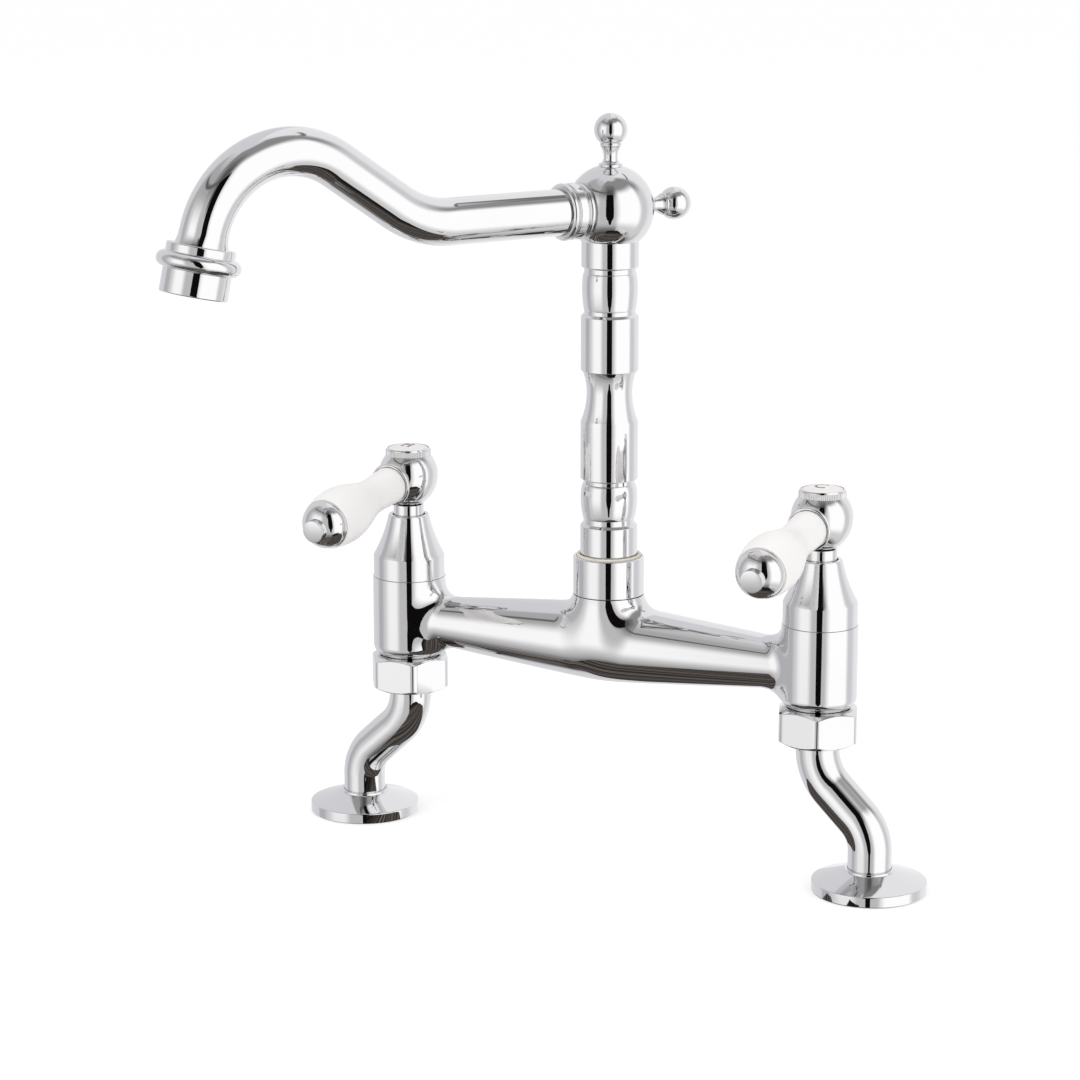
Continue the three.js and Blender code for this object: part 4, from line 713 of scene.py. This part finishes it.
waist = []
for z in np.linspace(WAIST_LOW_Z, WAIST_HIGH_Z, 24)[1:-1]:
    edge, end = (COLUMN_R, WAIST_LOW_Z) if z < WAIST_Z else (WAIST_TOP_R, WAIST_HIGH_Z)
    waist.append((WAIST_R + (edge - WAIST_R) * ((z - WAIST_Z) / (end - WAIST_Z)) ** 2, z))
column = [(0, 92.0), (9.6, 92.0, 0.5), (9.6, 113.15), (12.05, 113.15), (12.05, 115.15), (11.15, 115.15),
          (11.15, 122.2), (COLUMN_R, 122.4), (COLUMN_R, 133.5, 0.3), (10.5, 134.4, 0.2),
          (GROOVE_R, 134.4, 0.2), *bulb(11.2, 136.5, 150.5, 1.25), (GROOVE_R, 152.2, 0.3),
          (COLUMN_R, 152.2, 0.45), (COLUMN_R, WAIST_LOW_Z), *waist, (WAIST_TOP_R, WAIST_HIGH_Z),
          (COLUMN_R, WAIST_HIGH_Z, 0.25), (COLUMN_R, 216.7, 0.3), (10.4, 217.6, 0.2), (GROOVE_R, 217.6, 0.3),
          *bulb(10.9, 219.2, 233.8, 1.3), (GROOVE_R, 235.9, 0.3), (COLUMN_R - 0.1, 235.9, 0.7),
          (COLUMN_R - 0.1, 246.3, 0.2), (7.9, 246.3), (7.9, 249.7), (0, 249.7)]
spout_turn = turn(-90 - SPOUT_SWING, "Z")
finish("turned_column", lathed("column", column, sides=128), "spout", ["column"], spout_turn)
print("column path points:", len(cutter_path(column)))

# %% [markdown]
# The head is a ball with three milled flats: one under each finial and one behind the spout's
# socket. A boolean could cut them, but slicing the mesh with planes is exact and quick. A finial is
# a tiny turning too: foot, hollow neck, bead and ball.

# %% Ball head and finials
HEAD_R, HEAD_Z = 17.0, 258.6
ball_mesh = lathed("ball", arc(0, 0, HEAD_R, -90, 90, 64), sides=128)
work = bmesh.new()
work.from_mesh(ball_mesh)
SEATS = (((0, 0, 1), 16.4), ((-1, 0, 0), 16.4), ((1, 0, 0), 13.0), ((0, 0, -1), HEAD_Z - 246.3))
for direction, seat in SEATS:
    axis = Vector(direction)
    bmesh.ops.bisect_plane(work, geom=[*work.verts, *work.edges, *work.faces], plane_co=axis * seat * MM,
                           plane_no=axis, clear_outer=True)
    bmesh.ops.holes_fill(work, edges=[e for e in work.edges if e.is_boundary], sides=0)
work.to_mesh(ball_mesh)
work.free()
at_head = spout_turn @ shift(z=HEAD_Z)
finish("ball_head", ball_mesh, "spout", ["head"], at_head)

neck = [(4.4 - 1.7 * math.sin(t) ** 1.1, 19.6 - 2.3 * math.cos(t)) for t in np.linspace(0, math.pi / 2, 12)]
neck += [(2.7 + 1.15 * t ** 2.2, 19.6 + 4.2 * t) for t in np.linspace(0, 1, 12)[1:]]
finial = [(0, 12.4), (2.3, 12.4), (2.3, 16.3), (4.6, 16.3), (4.6, 17.1, 0.25), *neck,
          *arc(3.45, 24.67, 0.75, -80, 50, 12), *arc(0, 30.3, 6.4, -52, 90, 32)]
for end, tilt in (("top", 0), ("rear", -90)):
    finish("finial_" + end, lathed("finial", finial, sides=64), "spout", [end + "_finial"],
           at_head @ turn(tilt, "Y"))

# %% [markdown]
# The spout leaves the ball through a socket with a bead at each end. It could be part of the tube,
# but it is screwed on, and its beads hide the joint, so it is a turning of its own.

# %% Spout socket
SOCKET_SHELF, SOCKET_END = 14.6, 23.4
end_bead = (SOCKET_END - SOCKET_SHELF) * 0.16
socket = [(0, 8.0), (8.5, 8.0), (8.5, 12.95), (9.6, 12.95), *arc(9.3, 14.3, 1.2, -70, 70, 12),
          (9.5, 15.6, 0.15), (10.6, 16.4, 0.3), (11.0, 17.2, 0.5), (10.8, 20.1, 0.3), (10.0, 20.4, 0.15),
          *arc(11.0 - end_bead, SOCKET_END - end_bead, end_bead, -75, 90, 12), (9.0, SOCKET_END, 0.1),
          (9.0, 21.5), (0, 21.5)]
finish("socket", lathed("socket", socket), "spout", ["spout_socket"], at_head @ turn(90, "Y"))

# %% [markdown]
# Spout and legs are the same kind of part: a tube pulled round two bends. That is a rule with a
# few sizes, so Geometry Nodes make it. Four corner points become a line, Fillet Curve rounds the
# two inner corners to their bend radii, and Curve to Mesh draws a circle along it.
# The tree's sizes are named inputs, set per tube.

# %% Bent tube, as a Geometry Nodes tree
def geometry_tree(name, sizes):
    return new_tree(name, "GeometryNodeTree", {"Geometry": "Geometry", **sizes, "Finish": "Material"},
                    {"Geometry": "Geometry"})


def step(tree, kind, inputs=None, **settings):
    """Adds a geometry node and returns what it puts out."""
    return node(tree, "GeometryNode" + kind, inputs, **settings).outputs[0]


def close_tree(tree, inlet, outlet, *parts):
    """Every tree ends alike: its parts are joined, made real and given the named finish."""
    whole = node(tree, "GeometryNodeJoinGeometry")
    for part in parts:
        tree.links.new(part, whole.inputs[0])
    real = step(tree, "RealizeInstances", {0: whole.outputs[0]})
    coat = step(tree, "SetMaterial", {"Geometry": real, "Material": inlet["Finish"]})
    tree.links.new(coat, outlet["Geometry"])
    return tree


def build_bent_tube():
    corners = ("Start", "First Corner", "Second Corner", "End")
    radii = ("First Bend Radius", "Second Bend Radius", "Tube Radius")
    tree, inlet, outlet = geometry_tree("bent_tube", {**dict.fromkeys(corners, "Vector"),
                                                      **dict.fromkeys(radii, "Float")})
    index = step(tree, "InputIndex")

    def by_index(kind, names):
        switch = node(tree, "GeometryNodeIndexSwitch", data_type=kind)
        while len(switch.index_switch_items) < 4:
            switch.index_switch_items.new()
        tree.links.new(index, switch.inputs["Index"])
        for k, name in enumerate(names):
            if name:
                tree.links.new(inlet[name], switch.inputs[str(k)])
        return switch.outputs[0]

    four = step(tree, "ResampleCurve", {"Curve": step(tree, "CurvePrimitiveLine"), "Count": 4})
    put = step(tree, "SetPosition", {"Geometry": four, "Position": by_index("VECTOR", corners)})
    bends = by_index("FLOAT", (None, *radii[:2], None))
    bend = step(tree, "FilletCurve", {"Curve": put, "Count": 40, "Radius": bends}, mode="POLY")
    circle = step(tree, "CurvePrimitiveCircle", {"Resolution": 96, "Radius": inlet["Tube Radius"]})
    tube = step(tree, "CurveToMesh", {"Curve": bend, "Profile Curve": circle, "Fill Caps": True})
    return close_tree(tree, inlet, outlet, tube)


bent_tube = build_bent_tube()


def grown(tree, sizes, base=None):
    """Evaluates a tree with its named sizes on a base mesh and returns the plain result."""
    host = bpy.data.objects.new("host", base or bpy.data.meshes.new("host"))
    bpy.context.scene.collection.objects.link(host)
    modifier = host.modifiers.new("grown", "NODES")
    modifier.node_group = tree
    ids = {item.name: item.identifier for item in tree.interface.items_tree
           if item.item_type == "SOCKET" and item.in_out == "INPUT"}
    for name, value in sizes.items():
        modifier[ids[name]] = value
    result = bpy.data.meshes.new_from_object(host.evaluated_get(bpy.context.evaluated_depsgraph_get()))
    host.modifiers.clear()
    bpy.data.objects.remove(host)
    return result


print("bent tube tree:", len(bent_tube.nodes), "nodes")

# %% [markdown]
# The spout runs level, climbs, turns over its crest and ends leaning a little outward. Each
# corner is found from the lengths and bends a tube bender would set: a bend of radius R and
# angle A uses up R tan(A / 2) of the straight on each side of its corner.

# %% Spout tube
RUN, LOW_BEND_R, CLIMB_ANGLE, CLIMB, CREST_R, END_TILT, DROP = 72.4, 42.0, 34.2, 30.0, 35.8, 12.5, 3.8
SPOUT_START, SPOUT_R, INTO_NOZZLE = 14.9, 8.95, 4.6
rise = math.radians(CLIMB_ANGLE)
fall = math.radians(CLIMB_ANGLE + 90 - END_TILT)
heading = rise - fall
up_slope = np.array((math.cos(rise), math.sin(rise)))
down_slope = np.array((math.cos(heading), math.sin(heading)))
low_corner = np.array((RUN + LOW_BEND_R * math.tan(rise / 2), HEAD_Z))
crest_reach = CREST_R * math.tan(fall / 2)
crest_corner = low_corner + up_slope * (LOW_BEND_R * math.tan(rise / 2) + CLIMB + crest_reach)
spout_end = crest_corner + down_slope * (crest_reach + DROP)


def upright(point):
    return (float(point[0]) * MM, 0.0, float(point[1]) * MM)


spout_mesh = grown(bent_tube, {
    "Start": upright((SPOUT_START, HEAD_Z)), "First Corner": upright(low_corner),
    "Second Corner": upright(crest_corner), "End": upright(spout_end + down_slope * INTO_NOZZLE),
    "First Bend Radius": LOW_BEND_R * MM, "Second Bend Radius": CREST_R * MM,
    "Tube Radius": SPOUT_R * MM, "Finish": chrome_tube})
finish("spout_pipe", spout_mesh, "spout", ["spout_tube"], spout_turn, material=chrome_tube)
print("spout end at", spout_end)

# %% [markdown]
# The nozzle is a turned cup with a fat bead, pressed over the end of the spout. Its mouth is
# threaded for the aerator on the real tap. It could be grown from the tube's own end, but it is a
# separate turning, so it is spun from its own path and tipped to the spout's angle.

# %% Nozzle
on_nozzle = spout_turn @ shift(float(spout_end[0]), 0, float(spout_end[1])) @ turn(-END_TILT, "Y")
BEAD_R = 2.9
bead_at = -(3.2 + BEAD_R + 0.1)
flare = [(9.05 + 0.85 * (1 - t) ** 2, 0.05 + 4.65 * t) for t in np.linspace(0, 1, 12)]
nozzle = [(11.2, -18.2, 0.1), (12.5, -18.2, 0.6), (12.5, -9.2, 0.2), *arc(12.6, bead_at, BEAD_R, -74, 84, 28),
          (12.65, -3.25, 0.2), (12.65, 0, 0.6), *flare, (9.0, 4.7), (9.0, -5.0), (7.65, -5.0),
          (7.65, -7.8), (11.2, -7.8)]
finish("nozzle_cup", lathed("nozzle", nozzle, True, 128), "spout", ["nozzle"], on_nozzle)

# %% [markdown]
# The aerator is a moulded insert whose face is a field of small tubes that break up the stream.
# Cutting round holes into a disc would be slower and show less depth. Geometry Nodes set one small
# tube on every grid point that falls inside the face.

# %% Aerator face, as a Geometry Nodes tree
def build_tube_field():
    sizes = ("Face Radius", "Spacing", "Tube Radius", "Tube Height")
    tree, inlet, outlet = geometry_tree("tube_field", dict.fromkeys(sizes, "Float"))
    across, tube_wall = 11, 0.18 * MM
    side = maths(tree, "MULTIPLY", inlet["Spacing"], across - 1)
    grid = step(tree, "MeshGrid", {"Vertices X": across, "Vertices Y": across,
                                   "Size X": side, "Size Y": side})
    length = node(tree, "ShaderNodeVectorMath", {0: step(tree, "InputPosition")}, operation="LENGTH")
    inside = node(tree, "FunctionNodeCompare", {0: length.outputs["Value"], 1: inlet["Face Radius"]},
                  operation="LESS_THAN").outputs[0]
    circle = step(tree, "CurvePrimitiveCircle", {"Resolution": 12, "Radius": inlet["Tube Radius"]})
    ring = step(tree, "CurvePrimitiveCircle", {"Resolution": 6, "Radius": tube_wall})
    tube = step(tree, "CurveToMesh", {"Curve": circle, "Profile Curve": ring})
    copies = step(tree, "InstanceOnPoints", {"Points": grid, "Selection": inside, "Instance": tube})
    down = node(tree, "ShaderNodeCombineXYZ", {"Z": inlet["Tube Height"]}).outputs[0]
    field = step(tree, "Transform", {"Translation": down, "Geometry": copies})
    return close_tree(tree, inlet, outlet, inlet["Geometry"], field)


insert = [(0, -16.2), (9.2, -16.2), (9.2, -16.8, 0.2), (10.9, -16.8, 0.3), (10.9, -9.3, 0.2), (0, -9.3)]
field = grown(build_tube_field(), {
    "Face Radius": 9.0 * MM, "Spacing": 1.7 * MM, "Tube Radius": 0.62 * MM, "Tube Height": -16.25 * MM,
    "Finish": grey_plastic}, lathed("insert", insert, sides=64))
finish("aerator_insert", field, "spout", ["aerator"], on_nozzle, grey_plastic)
print("aerator faces:", len(field.polygons))

# %% [markdown]
# Each leg is a plain cranked tube with a collar that the union nut pulls up against the valve. It
# could be swept along a drawn curve, but the spout's tree already bends tubes, so it only needs
# other sizes. A domed flange, spun on the lathe, hides the hole in the worktop.

# %% Legs, collars and flanges
LEG_OFFSET, LEG_CRANK_Z, LEG_BEND_ANGLE, LEG_TOP_Z, LEG_R, LEG_TURN = 23.3, 33.8, 48.0, 61.4, 8.5, -4.8
COLLAR_R, COLLAR_T = 11.3, 2.6
half_rise = LEG_OFFSET / 2 / math.tan(math.radians(LEG_BEND_ANGLE))
flange = [(18.4, 0, 0.2), (22.4, 0, 0.35), (22.4, 4.2, 0.5), (9.9, 8.25, 0.15), (9.8, 9.1, 0.3),
          (8.6, 9.1, 0.1), (8.6, 6.0), (11.4, 6.0), (18.4, 2.0)]
stations = {}
for side, sign in SIDES.items():
    stations[side] = shift(sign * VALVE_X) @ turn((180 if sign < 0 else 0) + LEG_TURN, "Z")
    tube = grown(bent_tube, {
        "Start": (0.0, 0.0, LEG_TOP_Z * MM), "First Corner": (0.0, 0.0, (LEG_CRANK_Z + half_rise) * MM),
        "Second Corner": (LEG_OFFSET * MM, 0.0, (LEG_CRANK_Z - half_rise) * MM),
        "End": (LEG_OFFSET * MM, 0.0, 0.0), "First Bend Radius": 21.0 * MM,
        "Second Bend Radius": 17.0 * MM, "Tube Radius": LEG_R * MM, "Finish": chrome_tube})
    finish(side + "_cranked_leg", tube, "fixed", [side + "_leg"], stations[side], material=chrome_tube)
    leg_collar = mesh_of("leg_collar", rod(COLLAR_R, LEG_TOP_Z - COLLAR_T, LEG_TOP_Z))
    finish(side + "_leg_collar", leg_collar, "fixed", [], stations[side])
    finish(side + "_flange", lathed("flange", flange, True, 128), "fixed", [side + "_foot_flange"],
           stations[side] @ shift(LEG_OFFSET))

# %% [markdown]
# A union nut is a hexagon whose corners are chamfered at 30 degrees and slightly rounded. A boolean
# of a prism and a cone would do it; walking round the hexagon and lowering each corner by rule
# gives even faces that shade cleanly.

# %% Union nuts
def hexagon_nut(flats, low, high, bore, mouth, lip, corner_r=3.4, facets_per_corner=12, per_flat=10):
    """Vertices and faces of a closed nut; low, high and lip are heights, bore and mouth radii."""
    chamfer_width, chamfer_slope, soft = 0.35, 0.62, 0.22
    inner = flats / 2 - corner_r
    outline = []
    for k in range(6):
        middle = math.radians(60 * k)
        tangent = np.array((-math.sin(middle), math.cos(middle)))
        centre = np.array((math.cos(middle), math.sin(middle))) * inner
        reach = inner * math.tan(math.radians(30))
        outward = np.array((math.cos(middle), math.sin(middle))) * corner_r
        for s in np.linspace(-1, 1, per_flat + 1):
            outline.append(centre + tangent * reach * s + outward)
        for j in range(1, facets_per_corner):
            a = middle + math.radians(60 * j / facets_per_corner)
            outline.append(centre + tangent * reach + np.array((math.cos(a), math.sin(a))) * corner_r)
    outline = np.array(outline)
    reach = np.linalg.norm(outline, axis=1)
    chamfer_r = flats / 2 - chamfer_width
    drop = np.maximum(reach - chamfer_r, 0) * chamfer_slope
    unit = outline / reach[:, None]
    levels = []

    def level(r, z):
        levels.append(np.column_stack((unit * np.broadcast_to(r, reach.shape)[:, None],
                                       np.broadcast_to(z, reach.shape))))

    level(mouth, low)
    level(np.minimum(reach, chamfer_r), low)
    level(reach - soft * 1.2, low + np.maximum(drop - soft * 0.3, 0))
    level(reach, low + drop + soft)
    level(reach, high - drop - soft)
    level(reach - soft * 1.2, high - np.maximum(drop - soft * 0.3, 0))
    level(np.minimum(reach, chamfer_r), high)
    level(bore, high)
    level(bore, low + lip)
    level(mouth, low + lip)
    n = len(outline)
    verts = [tuple(v) for rows in levels for v in rows]
    faces = []
    for i in range(len(levels)):
        j = (i + 1) % len(levels)
        for k in range(n):
            m = (k + 1) % n
            faces.append([i * n + k, i * n + m, j * n + m, j * n + k])
    return verts, faces


for side, corner in (("hot", 8.0), ("cold", -5.0)):
    nut = mesh_of("nut", hexagon_nut(flats=30, low=56.6, high=70.5, bore=12.1, mouth=8.8, lip=2.0))
    finish(side + "_nut", nut, "fixed", [side + "_union_nut"],
           stations[side] @ turn(corner + 30, "Z"), material=chrome_cast, sharp=24)

# %% [markdown]
# Over each valve body stands a bell-shaped bonnet with a hollow flank, and out of it a short
# sleeve that the lever's hub sits on. A straight cone would look stiff: the flank sinks inward along
# a parabola, deepest at its middle.

# %% Bonnets and sleeves
def hollow_flank(bottom, top, depth, steps=24):
    (r0, z0), (r1, z1) = bottom, top
    length = math.hypot(r1 - r0, z1 - z0)
    rows = []
    for t in np.linspace(0, 1, steps + 1):
        push = -depth * 4 * t * (1 - t) / length
        rows.append((r0 + (r1 - r0) * t + (z1 - z0) * push, z0 + (z1 - z0) * t - (r1 - r0) * push))
    return rows


flank = hollow_flank((14.45, 112.4), (8.3, 128.6), 0.7)
bonnet = [(11.9, 103.5), (14.45, 103.5, 0.25), (14.45, 112.2, 0.3), *flank[1:], (8.0, 129.1, 0.3),
          (6.65, 129.1, 0.2), (6.45, 127.5), (6.45, 119.9), (7.5, 119.9), (7.5, 107.8), (11.9, 107.8)]
sleeve = [(4.3, 119.6), (6.15, 119.6), (6.15, 133.25, 0.2), (4.3, 133.25)]
for side, sign in SIDES.items():
    at = shift(sign * VALVE_X)
    finish(side + "_bell", lathed("bell", bonnet, True, 112), "fixed", [side + "_bonnet"], at)
    finish(side + "_neck", lathed("neck", sleeve, True, 72), "fixed", [side + "_sleeve"], at)

# %% [markdown]
# On top of each lever's hub sits a ring with fine upright knurls, for a fitter's fingers.
# The knurls repeat, so Geometry Nodes place one small rib for each step round the ring.

# %% Knurls, as a Geometry Nodes tree
def build_knurls():
    sizes = ("Ring Radius", "Rib Radius", "Rib Height", "Rib Centre Height")
    tree, inlet, outlet = geometry_tree("knurls", {"Count": "Int", **dict.fromkeys(sizes, "Float")})
    circle = step(tree, "CurvePrimitiveCircle", {"Resolution": inlet["Count"],
                                                 "Radius": inlet["Ring Radius"]})
    rib = step(tree, "MeshCylinder", {"Vertices": 16, "Radius": inlet["Rib Radius"],
                                      "Depth": inlet["Rib Height"]})
    copies = step(tree, "InstanceOnPoints", {"Points": circle, "Instance": rib})
    lift = node(tree, "ShaderNodeCombineXYZ", {"Z": inlet["Rib Centre Height"]}).outputs[0]
    ribs = step(tree, "Transform", {"Translation": lift, "Geometry": copies})
    return close_tree(tree, inlet, outlet, inlet["Geometry"], ribs)


knurls = build_knurls()
print("knurl tree:", len(knurls.nodes), "nodes")

# %% [markdown]
# The lever's hub is a ball with a slightly longer lower half, like an egg. It could be a scaled
# sphere, but a spun path gets its two flats and its cap seat in one go. The ring and the white cap
# on top of it are two more turnings.

# %% Hubs, knurled rings and caps
HUB_R, HUB_EGG_R, HUB_Z, HUB_LOW_Z, HUB_TOP_Z = 12.0, 13.6, 145.6, 133.4, 153.5
LEVER_DROOP, LEVER_SPLAY = 7.4, 1.5
low = math.degrees(math.asin((HUB_LOW_Z - HUB_Z) / HUB_EGG_R))
high = math.degrees(math.asin((HUB_TOP_Z - HUB_Z) / HUB_R))
under = [(r, HUB_Z + z * HUB_EGG_R / HUB_R) for r, z in arc(0, 0, HUB_R, low, 0, 36)]
hub = [(0, HUB_LOW_Z), *under, *arc(0, HUB_Z, HUB_R, 0, high, 24)[1:], (0, HUB_TOP_Z)]
boss = [(0, 5.0), (6.2, 5.0), (6.2, 12.1, 0.2), (0, 12.1)]
cap_ring = [(8.1, 153.5), (8.82, 153.5, 0.1), (8.82, 156.0, 0.15), (8.5, 156.6, 0.15), (8.1, 156.5)]
cap_edge, cap_rise, cap_r = 156.4, 1.2, 7.95


def cap_height(r):
    return cap_edge + cap_rise * (1 - (r / cap_r) ** 2) ** 0.9


cap = [(0, 153.5), (cap_r, 153.5), (cap_r, cap_edge - 0.1),
       *[(cap_r * math.cos(t), cap_height(cap_r * math.cos(t))) for t in np.linspace(0.06, math.pi / 2, 20)]]
cap[-1] = (0, cap_height(0))
levers = {}
for side, sign in SIDES.items():
    body = side + "_lever"
    at = shift(sign * VALVE_X) @ turn(sign * LEVER_SPLAY, "Z")
    levers[side] = at @ shift(z=HUB_Z) @ turn(90 + LEVER_DROOP, "X")
    to_boss = Matrix.Translation((0, 0, HUB_Z)) @ turn(90 + LEVER_DROOP, "X")
    hub_mesh = mesh_of("hub", spun(hub), moved(spun(cutter_path(boss), sides=64), to_boss))
    finish(side + "_hub_ball", hub_mesh, body, [side + "_hub"], at)
    knurled = grown(knurls, {
        "Count": 76, "Ring Radius": 8.74 * MM, "Rib Radius": 0.42 * MM, "Rib Height": 2.2 * MM,
        "Rib Centre Height": 154.7 * MM, "Finish": chrome_turned},
        lathed("cap_ring", cap_ring, True))
    finish(side + "_knurled_ring", knurled, body, [side + "_cap_ring"], at)
    finish(side + "_cap", lathed("cap", cap, sides=72), body, [side + "_cap_disc"], at,
           cap_white)

# %% [markdown]
# Each cap carries the usual one-letter mark of its side, printed on the dome. The strokes are thin
# ribbons that follow the dome's height, so the ink lies on it from any angle.

# %% Printed marks
def ribbon(path, width, proud=0.03, sink=0.12):
    """A closed strip of ink along a path in the cap's plan, following the dome."""
    path = np.array(path, float)
    tangent = np.gradient(path, axis=0)
    tangent /= np.linalg.norm(tangent, axis=1)[:, None]
    across = np.column_stack((-tangent[:, 1], tangent[:, 0])) * width / 2
    edges = [path - across, path + across]
    rows = [[(x, y, cap_height(math.hypot(x, y)) + h) for x, y in edge]
            for edge, h in ((edges[0], proud), (edges[1], proud), (edges[1], -sink), (edges[0], -sink))]
    n = len(path)
    verts = [v for row in rows for v in row]
    faces = [[a * n + i, a * n + i + 1, b * n + i + 1, b * n + i]
             for a, b in ((0, 1), (1, 2), (2, 3), (3, 0)) for i in range(n - 1)]
    faces += [[0, n, 2 * n, 3 * n], [n - 1, 4 * n - 1, 3 * n - 1, 2 * n - 1]]
    return verts, faces


straight = np.linspace(-1, 1, 13)[:, None]
bar_stroke = np.hstack((straight * 1.5, np.zeros((13, 1))))
hot_strokes = [np.hstack((np.full((13, 1), x), straight * 3.1)) for x in (-1.45, 1.45)] + [bar_stroke]
sweep = np.radians(np.linspace(48, 312, 40))
cold_strokes = [np.column_stack((2.6 * np.cos(sweep), 2.8 * np.sin(sweep)))]
for side, strokes in (("hot", hot_strokes), ("cold", cold_strokes)):
    sign = SIDES[side]
    mark = mesh_of("mark", *[ribbon(stroke, 0.82) for stroke in strokes])
    finish(side + "_mark", mark, side + "_lever", [],
           shift(sign * VALVE_X) @ turn(sign * LEVER_SPLAY, "Z"), cap_ink)

# %% [markdown]
# The lever is built on one stud: a chrome ferrule, a ceramic grip with a slim waist and a full
# bulb, and a domed end cap with a flat round button. The grip could be modelled by pulling a
# cylinder's rings in and out; here its outline eases along half cosines instead, the way a thrown
# handle swells, and the glaze softens its edges.

# %% Ferrules, grips and end caps
def eased(r0, r1, z0, z1, steps):
    return [(r0 + (r1 - r0) * (1 - math.cos(math.pi * t)) / 2, z0 + (z1 - z0) * t)
            for t in np.linspace(0, 1, steps + 1)[1:]]


ferrule = [(0, 12.1), (6.6, 12.1, 0.2), (6.6, 12.75, 0.1), *arc(7.3, 13.25, 0.5, -85, 60, 10),
           *arc(7.85, 14.5, 0.85, -70, 85, 14), (7.9, 15.4, 0.05), (7.7, 14.4), (0, 14.4)]
grip = [(0, 14.45), (7.2, 14.45, 0.2), *eased(7.5, 7.1, 14.7, 29, 16), *eased(7.1, 11.4, 29, 54, 40)]
grip += [(11.4 - 1.2 * t * t, 54 + 10.1 * t) for t in np.linspace(0, 1, 16)[1:]]
grip += [(10.1, 64.35, 0.2), (0, 64.35)]
dome_stop = math.acos(4.45 / 9.45)
dome = [(9.45 * math.cos(t), 65.3 + 6.9 * math.sin(t)) for t in np.linspace(0.02, dome_stop, 26)]
button = [(4.42, 71.6), (4.42, 74.4, 0.4)]
button += [(r, 74.45 + 0.3 * (1 - (r / 4.3) ** 2)) for r in np.linspace(4.1, 0.4, 10)]
end_cap = [(0, 64.4), (9.2, 64.4, 0.1), *arc(9.27, 64.87, 0.43, -80, 80, 10), *dome, *button, (0, 74.75)]
for side in SIDES:
    body = side + "_lever"
    finish(side + "_ferrule_ring", lathed("ferrule", ferrule), body, [side + "_ferrule"], levers[side])
    finish(side + "_ceramic_grip", lathed("grip", grip), body, [side + "_grip"], levers[side],
           glazed_white)
    finish(side + "_tip", lathed("tip", end_cap), body, [side + "_end_cap"], levers[side])

# %% [markdown]
# What stays hidden inside keeps its shape from the frame: cartridges, discs, spindles, washers,
# studs and seals. They only need their own finish, for the day someone takes the tap apart.

# %% Finishes of the inner parts
INNER = {"cartridge": bare_brass, "spindle": bare_brass, "fixed_disc": lapped_alumina,
         "turning_disc": lapped_alumina, "seat_washer": seal_rubber, "union_washer": red_fibre,
         "hub_screw": stainless, "lever_stud": stainless, "lower_seal": seal_rubber,
         "upper_seal": seal_rubber, "aerator_washer": seal_rubber}
for name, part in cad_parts.items():
    for ending, material in INNER.items():
        if name.endswith(ending):
            part.data.materials.clear()
            part.data.materials.append(material)
print("inner parts finished")

# %% [markdown]
# Last, a plain view transform shows colours as written.

# %% Close
bpy.context.scene.view_settings.view_transform = "Standard"
